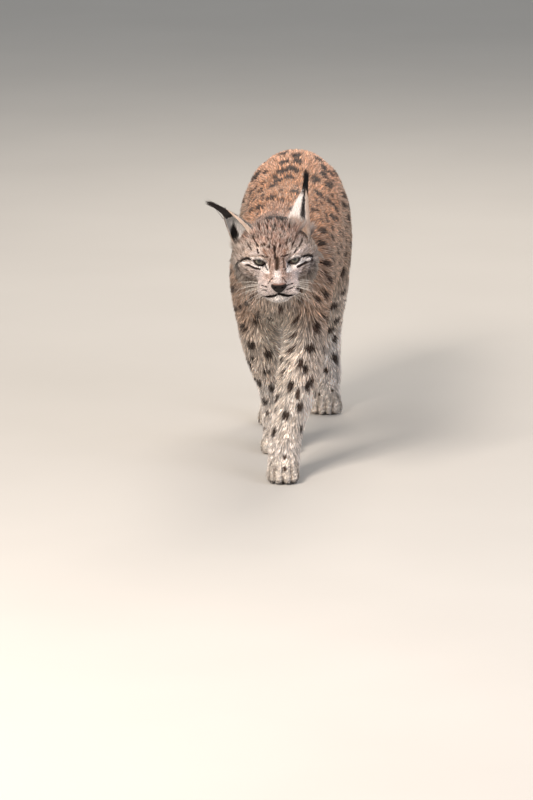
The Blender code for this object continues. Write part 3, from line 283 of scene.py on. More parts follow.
# Marks of the face in the same frame: colour, half width in millimetres, softness, line
FACE_MARKS = [
    ("#DCCFCB", 8.0, 5.0, [(277.0, 272.5), (277.0, 281.0)]),
    ("#86614E", 3.6, 4.4, [(264.0, 250.0), (266.8, 254.4)]),
    ("#86614E", 3.6, 4.4, [(287.0, 248.4), (284.2, 252.8)]),
    ("#E6D6D0", 4.0, 2.5, [(251.0, 253.8), (259.0, 252.6)]),
    ("#E6D6D0", 4.0, 2.5, [(292.6, 252.0), (302.0, 251.0)]),
    ("#F6EDE9", 2.6, 1.0, [(249.4, 262.2), (244.6, 263.4)]),
    ("#F6EDE9", 2.6, 1.0, [(303.2, 259.2), (309.4, 259.8)]),
    ("#F6EDE9", 2.2, 1.0, [(250.8, 264.4), (256.0, 267.4), (261.6, 270.0)]),
    ("#F6EDE9", 2.2, 1.0, [(302.6, 262.2), (298.0, 266.0), (291.4, 269.6)]),
    ("#3D302A", 4.0, 2.6, [(239.2, 262.0), (241.0, 270.0), (244.5, 278.5), (250.5, 287.5), (257.0, 292.5)]),
    ("#3D302A", 4.0, 2.6, [(310.6, 261.0), (308.0, 270.0), (303.5, 279.5), (297.5, 288.0)]),
    ("#66564D", 1.6, 1.2, [(247.0, 269.0), (252.0, 274.0), (255.0, 281.0)]),
    ("#66564D", 1.6, 1.2, [(304.4, 267.0), (300.6, 272.6), (298.6, 279.6)]),
    ("#150C0A", 3.6, 0.6, [(250.5, 258.6), (245.5, 259.3), (241.7, 260.6), (238.4, 264.4)]),
    ("#33241F", 4.4, 1.4, [(236.8, 266.0), (233.9, 270.6)]),
    ("#150C0A", 3.6, 0.6, [(301.4, 256.6), (306.5, 256.0), (311.8, 256.2)]),
    ("#33241F", 3.4, 1.0, [(311.4, 259.0), (311.2, 268.5)]),
    ("#2C1E19", 2.4, 0.6, [(247.8, 264.8), (253.5, 267.4), (259.8, 269.4)]),
    ("#2C1E19", 2.4, 0.6, [(306.2, 262.0), (301.8, 264.6), (297.3, 266.8)]),
    ("#332420", 2.2, 0.7, [(257.6, 250.0), (258.4, 253.0)]),
    ("#332420", 2.2, 0.7, [(294.6, 252.2), (297.0, 248.4)]),
    ("#33201B", 1.9, 0.8, [(262.2, 255.6), (264.8, 257.0), (267.6, 257.2)]),
    ("#33201B", 1.9, 0.8, [(281.2, 256.6), (284.8, 256.2), (287.6, 254.6)]),
    ("#1C1311", 1.7, 0.5, [(265.6, 266.4), (267.8, 270.2)]),
    ("#1C1311", 1.7, 0.5, [(287.4, 266.2), (285.4, 270.0)]),
    ("#2A1C16", 2.8, 1.0, [(274.8, 226.5), (274.6, 248.0), (275.0, 258.5)]),
    ("#33241D", 2.4, 0.9, [(267.4, 228.0), (270.0, 247.0)]),
    ("#33241D", 2.4, 0.9, [(281.6, 227.6), (279.8, 246.5)]),
    ("#38281F", 2.3, 0.9, [(260.0, 227.0), (264.4, 245.0)]),
    ("#38281F", 2.3, 0.9, [(288.8, 227.0), (285.6, 244.0)]),
    ("#38281F", 2.3, 0.9, [(253.4, 236.4), (257.8, 246.0)]),
    ("#38281F", 2.3, 0.9, [(296.0, 235.0), (292.4, 245.0)]),
    ("#38281F", 2.3, 0.9, [(247.0, 242.0), (251.4, 249.4)]),
    ("#38281F", 2.3, 0.9, [(302.0, 240.0), (299.0, 247.0)]),
    ("#3A291E", 4.2, 2.4, [(277.0, 258.6), (277.0, 269.4)]),
    ("#4A382D", 1.8, 1.2, [(270.4, 259.4), (269.6, 268.0)]),
    ("#4A382D", 1.8, 1.2, [(283.4, 258.8), (284.0, 267.6)]),
    ("#4A3A34", 1.6, 0.7, [(268.6, 283.6), (270.6, 280.4), (272.6, 278.4)]),
    ("#4A3A34", 1.6, 0.7, [(286.2, 282.4), (284.4, 279.6), (282.6, 278.0)]),
    ("#332522", 1.5, 0.5, [(257.4, 284.3), (259.8, 285.0)]),
    ("#332522", 1.5, 0.5, [(261.8, 285.3), (263.6, 285.8)]),
    ("#332522", 1.5, 0.5, [(265.2, 286.5), (266.8, 287.0)]),
    ("#332522", 1.4, 0.5, [(257.3, 287.6), (262.0, 289.4), (267.6, 290.8)]),
    ("#332522", 1.5, 0.5, [(287.2, 285.3), (289.0, 284.7)]),
    ("#332522", 1.5, 0.5, [(290.8, 283.9), (292.6, 283.3)]),
    ("#332522", 1.4, 0.5, [(286.4, 289.6), (290.6, 288.2), (294.4, 286.2)]),
]


def linear(hex_code):
    """Linear colour from an sRGB hex value."""
    values = [int(hex_code[i : i + 2], 16) / 255 for i in (1, 3, 5)]
    return np.array([v / 12.92 if v <= 0.04045 else ((v + 0.055) / 1.055) ** 2.4 for v in values])


def mix(colour, other, share):
    """Colours moved towards another by a share, one for all or one for each."""
    return colour + (other - colour) * np.asarray(np.clip(share, 0, 1))[..., None]


def step(low, high, value):
    """Smooth rise from 0 at low to 1 at high."""
    t = np.clip((value - low) / (high - low), 0, 1)
    return t * t * (3 - 2 * t)


def bell(away, half):
    """A swell that falls from 1 to nothing over a few half widths."""
    return np.exp(-((away / half) ** 2))


def unit(vectors):
    """Vectors made one long."""
    return vectors / np.maximum(np.linalg.norm(vectors, axis=-1, keepdims=True), 1e-9)


def to_head(points):
    """Points in the head's own axes, centimetres."""
    return (points - np.array(HEAD_AT)) @ TURN3 * 100


def from_head(points):
    """Points given in the head's own axes, centimetres, set in the scene."""
    return np.asarray(points) * 0.01 @ TURN3.T + np.array(HEAD_AT)


def turned(ways):
    """Directions given in the head's own axes, in the scene's."""
    return np.asarray(ways) @ TURN3.T


def noise(points, size, seed):
    """Smooth random value between -1 and 1 at points, of the given grain in metres."""
    table = np.random.default_rng(seed).uniform(-1, 1, 4096)
    place = points / size + 100.0
    base = np.floor(place).astype(int)
    part = place - base
    part = part * part * (3 - 2 * part)
    total = np.zeros(len(points))
    for corner in range(8):
        offset = np.array([corner & 1, corner >> 1 & 1, corner >> 2])
        cell = base + offset
        index = (cell[:, 0] * 73 + cell[:, 1] * 1237 + cell[:, 2] * 3571) % 4096
        total += table[index] * np.prod(np.where(offset, part, 1 - part), axis=1)
    return total


def smooth_line(rows, steps):
    """Rows of numbers made finer by a smooth curve through them."""
    rows = np.array(rows, float)
    padded = np.vstack([2 * rows[0] - rows[1], rows, 2 * rows[-1] - rows[-2]])
    out = []
    for i in range(len(rows) - 1):
        a, b, c, d = padded[i : i + 4]
        for t in np.arange(steps) / steps:
            out.append(0.5 * (2 * b + (c - a) * t + (2 * a - 5 * b + 4 * c - d) * t**2
                              + (3 * b - a - 3 * c + d) * t**3))
    out.append(rows[-1])
    return np.array(out)


# The head's form


def egg_distance(points, middle_at, halves, turn=0.0):
    """Distance of points from the surface of an egg, negative inside."""
    place = points - np.array(middle_at)
    c, d = math.cos(math.radians(turn)), math.sin(math.radians(turn))
    place = np.column_stack(
        [place[:, 0], c * place[:, 1] + d * place[:, 2], -d * place[:, 1] + c * place[:, 2]]
    )
    halves = np.array(halves)
    out = np.linalg.norm(place / halves, axis=1)
    grade = np.linalg.norm(place / halves**2, axis=1)
    return out * (out - 1) / np.maximum(grade, 1e-6)


def soft_union(a, b, soft):
    """Union of two fields with the crease between them filled."""
    return np.minimum(a, b) - np.maximum(soft - np.abs(a - b), 0) ** 2 / (4 * soft)


def head_field(points):
    """Distance of points from the outside of the head's coat, in its own axes, centimetres."""
    folded = points.copy()
    folded[:, 0] = np.sqrt(points[:, 0] ** 2 + 0.01)
    field = None
    for middle_at, halves, turn, soft in HEAD_MASSES:
        near = egg_distance(folded if middle_at[0] else points, middle_at, halves, turn)
        field = near if field is None else soft_union(field, near, soft)
    start, wide, end, narrow, across, soft = BRIDGE
    start, way = np.array(start), np.array(end) - np.array(start)
    place = points - start
    share = np.clip(place @ way / (way @ way), 0, 1)
    off = place - share[:, None] * way
    off[:, 0] *= across
    field = soft_union(field, np.linalg.norm(off, axis=1) - wide - share * (narrow - wide), soft)
    for middle_at, halves, soft in HEAD_HOLLOWS:
        field = -soft_union(-field, egg_distance(folded, middle_at, halves), soft)
    return field


def head_slope(points):
    """Way out of the head at points."""
    slope = np.empty_like(points)
    for axis in range(3):
        move = np.zeros(3)
        move[axis] = 0.03
        slope[:, axis] = (head_field(points + move) - head_field(points - move)) / 0.06
    return slope


def to_level(points, level):
    """Points in the head's axes moved onto a level of its field."""
    points = points.copy()
    for _ in range(4):
        slope = head_slope(points)
        off = np.clip(head_field(points) - level, -0.8, 0.8)
        points -= off[:, None] * slope / np.maximum((slope**2).sum(axis=1), 0.2)[:, None]
    return points


def face_depth(across, up, level):
    """How far along the head's Y a level of its field lies at places across and up."""
    points = np.column_stack([across, np.full(len(across), FACE_START), up])
    for _ in range(60):
        points[:, 1] += np.clip((head_field(points) - level) * 0.8, -0.4, 0.8)
    return points[:, 1]


# Meshes


def values_of(items, what, width=1, kind=float):
    """One of the values of every item of a mesh, as an array."""
    out = np.empty(len(items) * width, kind)
    items.foreach_get(what, out)
    return out.reshape(-1, width) if width > 1 else out


def read(mesh):
    """Places of a mesh's vertices."""
    return values_of(mesh.vertices, "co", 3)


def read_normals(mesh):
    """Ways out of a mesh at its vertices."""
    return values_of(mesh.vertex_normals, "vector", 3)


def write(mesh, points):
    """Moves a mesh's vertices to places."""
    mesh.vertices.foreach_set("co", points.ravel())
    mesh.update()


def triangles_of(mesh):
    """Of each of a mesh's triangles, its corner vertices, its loops and its face."""
    mesh.calc_loop_triangles()
    items = mesh.loop_triangles
    return (values_of(items, "vertices", 3, int), values_of(items, "loops", 3, int),
            values_of(items, "polygon_index", 1, int))


def tree_of(mesh):
    """A tree for rays and nearest points on a mesh."""
    return BVHTree.FromPolygons(read(mesh).tolist(), triangles_of(mesh)[0].tolist())


def nearest(tree, place):
    """The nearest place on a mesh, and the way out of it there."""
    at, way = tree.find_nearest(Vector(place))[:2]
    return np.array(at), np.array(way)


def ring_faces(rings, count):
    """Triangles between closed rings of points, laid ring after ring."""
    faces = []
    for ring in range(rings - 1):
        for k in range(count):
            a, b = ring * count + k, ring * count + (k + 1) % count
            faces += [(a, b, b + count), (a, b + count, a + count)]
    return faces


def mesh_from(name, points, triangles, material):
    """A smooth object from arrays of points and triangles."""
    mesh = bpy.data.meshes.new(name)
    mesh.vertices.add(len(points))
    mesh.vertices.foreach_set("co", points.ravel())
    mesh.loops.add(triangles.size)
    mesh.loops.foreach_set("vertex_index", triangles.ravel())
    mesh.polygons.add(len(triangles))
    mesh.polygons.foreach_set("loop_start", np.arange(0, triangles.size, 3))
    mesh.update(calc_edges=True)
    mesh.shade_smooth()
    obj = bpy.data.objects.new(name, mesh)
    bpy.context.scene.collection.objects.link(obj)
    mesh.materials.append(material)
    return obj


def paint(mesh, name, values, kind="FLOAT_COLOR"):
    """Stores a colour or a direction on every vertex."""
    layer = mesh.attributes.new(name, kind, "POINT")
    if kind == "FLOAT_COLOR":
        values = np.column_stack([values, np.ones(len(values))])
        layer.data.foreach_set("color", values.ravel())
    else:
        layer.data.foreach_set("vector", values.ravel())


def only(obj):
    """Makes one object the only selected one."""
    bpy.ops.object.select_all(action="DESELECT")
    obj.select_set(True)
    bpy.context.view_layer.objects.active = obj


def edit_whole(obj, operator, **settings):
    """Runs an edit mode operator on the whole of an object."""
    only(obj)
    bpy.ops.object.mode_set(mode="EDIT")
    bpy.ops.mesh.select_all(action="SELECT")
    operator(**settings)
    bpy.ops.object.mode_set(mode="OBJECT")


def thicken(obj, wall):
    """Gives a sheet its wall, inwards from its outside."""
    sheet = obj.modifiers.new("wall", "SOLIDIFY")
    sheet.thickness, sheet.offset = wall, -1.0
    only(obj)
    bpy.ops.object.modifier_apply(modifier=sheet.name)


def claim(obj, slot, *nodes):
    """Fixes a piece to the animal and hides the nodes that it stands for; the slot is not used."""
    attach(obj, "root")
    if nodes:
        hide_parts(*nodes)


# Materials


def add(tree, kind, links=(), **settings):
    """Adds a node: settings by attribute or by input name, links as (input, output socket)."""
    node = tree.nodes.new(kind)
    for key, value in settings.items():
        if hasattr(node, key):
            setattr(node, key, value)
        else:
            node.inputs[key.replace("_", " ")].default_value = value
    for target, source in links:
        tree.links.new(node.inputs[target], source)
    return node


def new_material(name, **settings):
    """A material and its shader, with settings by input name, both ready for links."""
    material = bpy.data.materials.new(name)
    material.use_nodes = True
    tree = material.node_tree
    shader = tree.nodes["Principled BSDF"]
    for key, value in settings.items():
        shader.inputs[key.replace("_", " ")].default_value = value
    return material, tree, shader


def over_piece(tree, kind, **settings):
    """A texture laid over a piece by its Object coordinates, so its scale is features to the metre."""
    place = add(tree, "ShaderNodeTexCoord")
    return add(tree, kind, [("Vector", place.outputs["Object"])], **settings)


def shade(tree, shader, colour, pattern, dark, light, reach=(0.3, 0.7)):
    """Colours a shader, from dark to light times the colour as a pattern runs through its reach."""
    spread = add(tree, "ShaderNodeMapRange", [("Value", pattern)],
                 From_Min=reach[0], From_Max=reach[1], To_Min=dark, To_Max=light)
    toned = add(tree, "ShaderNodeHueSaturation", [("Color", colour), ("Value", spread.outputs["Result"])])
    tree.links.new(shader.inputs["Base Color"], toned.outputs["Color"])


def fur_material():
    """Guard hair: dull keratin whose colour is in the hair, softly shaded with the lie of the coat."""
    material, tree, shader = new_material(
        "guard_hair", Roughness=0.72, Specular_IOR_Level=0.22, Sheen_Weight=0.12, Sheen_Roughness=0.5)
    tint = add(tree, "ShaderNodeAttribute", attribute_name="tint")
    # single strands are too fine to show, so they are drawn 1.5 mm apart
    strands = over_piece(tree, "ShaderNodeTexNoise", Scale=650.0, Detail=2.0)
    shade(tree, shader, tint.outputs["Color"], strands.outputs["Fac"], 0.86, 1.12)
    lie = add(tree, "ShaderNodeAttribute", attribute_name="lie")
    world = add(tree, "ShaderNodeVectorTransform", [("Vector", lie.outputs["Vector"])],
                vector_type="NORMAL", convert_from="OBJECT", convert_to="WORLD")
    shape = add(tree, "ShaderNodeNewGeometry")
    # a tuft is lit mostly as the coat round it, and only partly as its own small faces
    blend = add(tree, "ShaderNodeMix", [(4, shape.outputs["Normal"]), (5, world.outputs["Vector"])],
                data_type="VECTOR", Factor=0.62)
    even = add(tree, "ShaderNodeVectorMath", [(0, blend.outputs[1])], operation="NORMALIZE")
    tree.links.new(shader.inputs["Normal"], even.outputs["Vector"])
    return material


def skin_material():
    """Underfur close to the skin: matt, with the coat's markings, painted shade between its clumps and a fine
    hairy bump.
    """
    material, tree, shader = new_material("underfur", Roughness=0.9, Specular_IOR_Level=0.15)
    tint = add(tree, "ShaderNodeAttribute", attribute_name="tint")
    # clumps of underfur about 2 mm across, with painted shade between them
    clumps = over_piece(tree, "ShaderNodeTexNoise", Scale=480.0, Detail=4.0)
    shade(tree, shader, tint.outputs["Color"], clumps.outputs["Fac"], 0.5, 0.95)
    bump = add(tree, "ShaderNodeBump", [("Height", clumps.outputs["Fac"])], Strength=0.5, Distance=0.0012)
    tree.links.new(shader.inputs["Normal"], bump.outputs["Normal"])
    return material


def nose_material():
    """Nose leather: bare pebbled skin, pebbles 1.2 mm across, a little moist."""
    material, tree, shader = new_material("nose_leather", Roughness=0.50, Specular_IOR_Level=0.25)
    tint = add(tree, "ShaderNodeAttribute", attribute_name="tint")
    tree.links.new(shader.inputs["Base Color"], tint.outputs["Color"])
    pebbles = over_piece(tree, "ShaderNodeTexVoronoi", Scale=830.0)
    bump = add(tree, "ShaderNodeBump", [("Height", pebbles.outputs["Distance"])], Strength=0.5,
               Distance=0.0006, invert=True)
    tree.links.new(shader.inputs["Normal"], bump.outputs["Normal"])
    return material


def lid_material():
    """Skin of the lids: a black moist rim that pales outwards, with folds 1.1 mm apart."""
    material, tree, shader = new_material("lid_skin", Roughness=0.45)
    tint = add(tree, "ShaderNodeAttribute", attribute_name="tint")
    tree.links.new(shader.inputs["Base Color"], tint.outputs["Color"])
    folds = over_piece(tree, "ShaderNodeTexNoise", Scale=900.0, Detail=3.0)
    bump = add(tree, "ShaderNodeBump", [("Height", folds.outputs["Fac"])], Strength=0.4, Distance=0.0004)
    tree.links.new(shader.inputs["Normal"], bump.outputs["Normal"])
    return material


def eye_material():
    """Eye: iris of fine fibres round a small pupil, under a clear wet cornea."""
    material, tree, shader = new_material(
        "eye", Roughness=0.25, Coat_Weight=1.0, Coat_Roughness=0.03, Coat_IOR=1.38)
    place = add(tree, "ShaderNodeUVMap", uv_map="UVMap")
    parts = add(tree, "ShaderNodeSeparateXYZ", [("Vector", place.outputs["UV"])])
    # fibres: 90 to the turn of the iris, long from the pupil out
    stretch = add(tree, "ShaderNodeMapping", [("Vector", place.outputs["UV"])], Scale=(6.0, 90.0, 1.0))
    fibres = add(tree, "ShaderNodeTexNoise", [("Vector", stretch.outputs["Vector"])], Scale=1.0, Detail=2.0)
    ramp = add(tree, "ShaderNodeValToRGB", [("Fac", parts.outputs["X"])])
    while len(ramp.color_ramp.elements) < len(EYE_RINGS):
        ramp.color_ramp.elements.new(0.5)
    for element, (where, tone) in zip(ramp.color_ramp.elements, EYE_RINGS):
        element.position = where
        element.color = (*linear(tone), 1)
    shade(tree, shader, ramp.outputs["Color"], fibres.outputs["Fac"], 0.6, 1.4, (0.0, 1.0))
    return material


def two_toned(name, roughness, grain, low, high):
    """A dull material that wanders between two close colours."""
    material, tree, shader = new_material(name, Roughness=roughness)
    bands = over_piece(tree, "ShaderNodeTexNoise", Scale=grain)
    tone = add(tree, "ShaderNodeValToRGB", [("Fac", bands.outputs["Fac"])])
    for element, colour in zip(tone.color_ramp.elements, (low, high)):
        element.color = (*linear(colour), 1)
    tree.links.new(shader.inputs["Base Color"], tone.outputs["Color"])
    return material


def whisker_material():
    """Whisker keratin: stiff pale hair, smoother than the coat, banded every 17 mm."""
    return two_toned("whisker_keratin", 0.38, 60.0, "#CFC6BC", "#F4EFE8")


def floor_material():
    """Plain pale studio floor, with a faint mist half a metre across."""
    return two_toned("studio_floor", 0.9, 2.0, "#B0AEAA", "#B7B5B1")


# Camera


def from_frame_middle(pixel):
    """How far across and up a pixel lies from the middle of the photograph's frame, metres at the head."""
    return (pixel[0] - PHOTO_WIDE / 2) / PIXELS_PER_METRE, (PHOTO_HIGH / 2 - pixel[1]) / PIXELS_PER_METRE


def camera_axes():
    """Where the camera stands and its right, up and back."""
    back = Vector((math.sin(VIEW_TURN) * math.cos(VIEW_RISE),
                   -math.cos(VIEW_TURN) * math.cos(VIEW_RISE), math.sin(VIEW_RISE)))
    turn = (-back).to_track_quat("-Z", "Y").to_matrix()
    right, up = turn.col[0], turn.col[1]
    across, high = from_frame_middle(EYES_IN_PHOTO)
    return HEAD_AT - right * across - up * high + back * VIEW_DISTANCE, right, up, back


def from_photo(pixel, tree):
    """The place on the animal that a pixel of the photograph shows."""
    place, right, up, back = camera_axes()
    across, high = from_frame_middle(pixel)
    way = right * across + up * high - back * VIEW_DISTANCE
    found = tree.ray_cast(place, way.normalized())[0]
    return nearest(tree, place + way)[0] if found is None else np.array(found)


def add_camera():
    """The camera at the photograph's viewing angle."""
    place, right, up, back = camera_axes()
    data = bpy.data.cameras.new("camera")
    data.sensor_fit = "AUTO"
    data.sensor_width = SENSOR_WIDTH
    data.lens = PIXELS_PER_METRE * VIEW_DISTANCE * SENSOR_WIDTH / PHOTO_HIGH
    data.clip_end = 60.0
    camera = bpy.data.objects.new("camera", data)
    bpy.context.scene.collection.objects.link(camera)
    camera.matrix_world = Matrix.Translation(place) @ Matrix((right, up, back)).transposed().to_4x4()
    bpy.context.scene.camera = camera


# Kinds of coat over the body


def along_line(line, i):
    """The way that a line of places runs at one of them."""
    way = np.array(line[min(i + 1, len(line) - 1)]) - np.array(line[max(i - 1, 0)])
    return way / np.linalg.norm(way)


def coat_guides():
    """Places that say how the coat lies near them: place, way, reach and kind."""
    guides = []

    def guide(place, way, reach, kind):
        guides.append((np.array(place) + SHIFT, np.array(way, float), reach, kind))

    for along, across, top, low, half in TRUNK:
        upper = "rump" if along > 0.33 else "back"
        guide((across, along, top), (0, 1, -0.05), 0.06, upper)
        for side in (1, -1):
            guide((across + side * half * 0.75, along, top - 0.05), (0.1 * side, 1, -0.25), 0.06, upper)
            guide((across + side * half, along, (top + low) / 2), (0, 1, -0.5), 0.06, "flank")
            guide((across + side * half * 0.8, along, low + 0.05), (0, 1, -0.35), 0.06, "flank")
        guide((across, along, low), (0, 1, -0.1), 0.06, "belly")
    guide((-0.018, -0.155, 0.42), (0, 0.25, -1), 0.06, "chest")
    guide((-0.018, -0.130, 0.36), (0, 0.5, -1), 0.05, "chest")
    guide((-0.016, -0.135, 0.330), (0, 0.2, -1), 0.035, "brisket")
    guide((-0.014, -0.090, 0.315), (0, 0.2, -1), 0.035, "brisket")
    for across, along, high, half, tall in NECK:
        guide((across, along, high + tall), (0, 1, 0.1), 0.05, "nape")
        for side in (1, -1):
            guide((across + side * half, along, high), (0.1 * side, 1, -0.55), 0.05, "neck")
            guide((across + side * half * 0.7, along, high - tall * 0.7), (0, 0.8, -0.8), 0.05, "neck")
        guide((across, along, high - tall), (0, 0.8, -0.7), 0.05, "throat")
    for rows in LEGS["fore"] + LEGS["hind"]:
        for i, place in enumerate(rows):
            guide(place, along_line(rows, i) + [0, 0.22, 0], 0.05 if i < 3 else 0.04, LEG_STYLES[i])
    for across, along in PAWS:
        guide((across, along - 0.035, 0.030), (0, -1, -0.15), 0.035, "paw")
        guide((across, along + 0.010, 0.025), (0, -0.4, -0.8), 0.035, "paw")
    for i, place in enumerate(TAIL):
        guide(place, along_line(TAIL, i), 0.03, "tail_tip" if i > 2 else "tail")
    for kind, (x, y, z) in HEAD_COATS:
        for side in (1, -1) if x else (1,):
            reach = 0.026 if kind in ("crown", "ruff", "throat") else 0.018
            guide(from_head((x * side, y, z)) - SHIFT, (0, 1, 0), reach, kind)
    return guides


GUIDE_PLACES, GUIDE_WAYS, GUIDE_REACHES, GUIDE_KINDS = (np.array(part) for part in zip(*coat_guides()))
KINDS = list(COATS)
KIND_VALUES = np.array([COATS[kind][:5] for kind in KINDS])
KIND_COLOURS = np.array([linear(COATS[kind][5]) for kind in KINDS])


def coat_at(points):
    """Share of each kind of coat at points, and the way the body's coat runs there."""
    member = (GUIDE_KINDS[:, None] == np.array(KINDS)).astype(float)
    shares, runs = [], []
    for part in np.array_split(points, max(1, len(points) // 20000)):
        away = ((part[:, None, :] - GUIDE_PLACES) ** 2).sum(axis=2)
        weight = (1 + away / GUIDE_REACHES**2) ** -4
        weight /= weight.sum(axis=1, keepdims=True)
        shares.append(weight @ member)
        runs.append(weight @ GUIDE_WAYS)
    return np.vstack(shares), np.vstack(runs)


def sink_at(points):
    """How deep under the coat's outside the skin lies at points, metres."""
    return coat_at(points)[0] @ KIND_VALUES[:, DEPTH] * 0.001


def coat_lie(points, normals, runs):
    """Way the hair runs along the skin: away from the nose on the head, along the body elsewhere."""
    place = to_head(points)
    out = place - np.array([0.0, -7.4, -3.4])
    out[:, 2] -= 0.35 * np.abs(place[:, 0]) * step(2.0, -2.0, place[:, 2])
    out[:, 1] += 2.0 * step(2.0, 7.0, place[:, 1])
    on_head = step(9.5, 6.0, place[:, 1]) * step(2.0, 0.8, head_field(place))
    way = unit(runs) * (1 - on_head)[:, None] + turned(unit(out)) * on_head[:, None]
    way -= normals * (way * normals).sum(axis=1)[:, None]
    return unit(way)


# Skin


def relax(mesh, rounds, share):
    """Evens a mesh out, each vertex by its own share."""
    points = read(mesh)
    a, b = values_of(mesh.edges, "vertices", 2, int).T
    ends = np.concatenate([a, b])
    count = np.bincount(ends, minlength=len(points))
    for _ in range(rounds):
        mean = np.column_stack([
            np.bincount(ends, np.concatenate([points[b, k], points[a, k]]), len(points)) for k in range(3)
        ]) / np.maximum(count, 1)[:, None]
        points += (mean - points) * share[:, None] * 0.5
    write(mesh, points)


def fit_head(mesh, sink):
    """Draws the vertices of the head to the form of its skin."""
    points = read(mesh)
    place = to_head(points)
    near = np.where((place[:, 1] < 9.5) & (place[:, 2] > -11) & (np.abs(place[:, 0]) < 12))[0]
    place = place[near]
    share = step(8.5, 5.5, place[:, 1]) * step(1.5, 0.8, head_field(place))
    drawn = to_level(place, -sink[near] * 100)
    # beside the eyes the form is hollow, and vertices only go straight back or forward there
    corner = (np.hypot(np.abs(place[:, 0]) - 2.4, place[:, 2] + 0.8) < 1.7) & (place[:, 1] < 0.8)
    drawn[corner] = place[corner]
    drawn[corner, 1] = face_depth(np.abs(place[corner, 0]), place[corner, 2], -sink[near][corner] * 100)
    place += (drawn - place) * share[:, None]
    points[near] = from_head(place)
    write(mesh, points)


def refine(mesh, test):
    """Divides the faces whose middles pass a test."""
    bm = bmesh.new()
    bm.from_mesh(mesh)
    wanted = test(np.array([face.calc_center_median()[:] for face in bm.faces]))
    edges = {edge for face, keep in zip(bm.faces, wanted) if keep for edge in face.edges}
    bmesh.ops.subdivide_edges(bm, edges=list(edges), cuts=1, use_grid_fill=True)
    bm.to_mesh(mesh)
    bm.free()


def between_toes(points):
    """How deep in the parting between two toes points lie, from 0 to 1."""
    model = points - SHIFT
    out = np.zeros(len(points))
    for (across, along), (half, long) in zip(PAWS, PAW_SIZES):
        front = step(along - 0.30 * long, along - 0.62 * long, model[:, 1]) * (model[:, 1] > along - 0.09)
        front *= step(0.048, 0.034, model[:, 2]) * (np.abs(model[:, 0] - across) < 0.06)
        for place in TOE_PARTINGS:
            out = np.maximum(out, front * bell(model[:, 0] - across - place * half, TOE_GROOVE_HALF))
    return out


def toes(mesh):
    """Parts the toes of each paw."""
    refine(mesh, lambda middles: middles[:, 2] < 0.050)
    points = read(mesh)
    points -= read_normals(mesh) * (TOE_GROOVE_DEPTH * between_toes(points))[:, None]
    points[:, 2] = np.maximum(points[:, 2], SOLE_HEIGHT)
    write(mesh, points)


def line_distance(points, line):
    """Distance of points from a line through places."""
    best = np.full(len(points), 1e9)
    for a, b in zip(line, line[1:]):
        way = b - a
        share = np.clip((points - a) @ way / max(way @ way, 1e-12), 0, 1)
        best = np.minimum(best, np.linalg.norm(points - a - share[:, None] * way, axis=1))
    return best


def outline_reach(line, middle_at, across, up):
    """How many times an outline must be grown about its middle to reach places seen from the front."""
    off = line - np.array(middle_at)
    angles, radii = np.arctan2(off[:, 1], off[:, 0]), np.hypot(off[:, 0], off[:, 1])
    order = np.argsort(angles)
    across, up = across - middle_at[0], up - middle_at[1]
    edge = np.interp(np.arctan2(up, across), angles[order], radii[order], period=2 * math.pi)
    return np.hypot(across, up) / edge


def from_opening(place):
    """How far points of the face lie outside the nearer eye's opening, centimetres."""
    across, up = np.abs(place[:, 0]), place[:, 2]
    reach = np.maximum(outline_reach(opening_line(8), LID_MIDDLE, across, up), 0.2)
    return np.hypot(across - LID_MIDDLE[0], up - LID_MIDDLE[1]) * (1 - 1 / reach)


def clear_of_eyes(place):
    """Points of the face, those inside an eyeball or too close to it moved out to the skin's gap."""
    reach = EYE_RADIUS * 100 + SKIN_GAP
    outside = from_opening(place) > SKIN_EDGE
    for side in (1, -1):
        centre = np.array([EYE_CENTRE.x * side, EYE_CENTRE.y, EYE_CENTRE.z]) * 100
        off = place - centre
        away = np.linalg.norm(off, axis=1)
        near = outside & (away < reach) & (off[:, 1] < 0.4)
        place[near] = centre + off[near] / away[near, None] * reach
    return place


def mouth_lines(tree):
    """The line of the mouth from corner to corner, and the parting under the nose, on the skin."""
    half, other, parting = (
        [nearest(tree, from_head(place))[0] for place in np.array(line) * [side, 1, 1]]
        for line, side in ((MOUTH, 1), (MOUTH, -1), (PHILTRUM, 1))
    )
    return smooth_line(half + other[-2::-1], 6), np.array(parting)


def join_flesh():
    """The frame's flesh fused into one closed skin."""
    copies = []
    bpy.ops.object.select_all(action="DESELECT")
    for node in FLESH + ["eye_left", "eye_right", "nose"]:
        piece = bpy.data.objects.new("skin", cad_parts[node].data.copy())
        bpy.context.scene.collection.objects.link(piece)
        piece.select_set(True)
        copies.append(piece)
    skin = copies[0]
    bpy.context.view_layer.objects.active = skin
    bpy.ops.object.join()
    skin.name = "skin"
    skin.data.materials.clear()
    edit_whole(skin, bpy.ops.mesh.remove_doubles, threshold=1e-6)
    fuse = skin.modifiers.new("fuse", "REMESH")
    fuse.mode = "VOXEL"
    fuse.voxel_size = SKIN_GRAIN
    bpy.ops.object.modifier_apply(modifier=fuse.name)
    return skin


def draw_in(mesh):
    """Evens the skin out, draws it in by the depth of the coat and gives the head its form."""
    points = read(mesh)
    place = to_head(points)
    ruff_zone = step(-1.0, 2.0, place[:, 1]) * step(14.0, 10.0, place[:, 1]) * step(4.0, 2.0, place[:, 2])
    relax(mesh, 10, 0.08 + 0.92 * step(0.050, 0.085, points[:, 2]))
    relax(mesh, 40, ruff_zone)
    points = read(mesh)
    sink = sink_at(points)
    sole = step(0.004, 0.030, points[:, 2])
    points -= read_normals(mesh) * (sink * (0.25 + 0.75 * sole))[:, None]
    points[:, 2] = np.maximum(points[:, 2], SOLE_HEIGHT)
    write(mesh, points)
    fit_head(mesh, sink)


def on_face(middles, limit):
    """Whether places lie on the front of the head, before a limit along its axis."""
    place = to_head(middles)
    return (place[:, 1] < limit) & (place[:, 2] > -8.4) & (head_field(place) < 1.2)


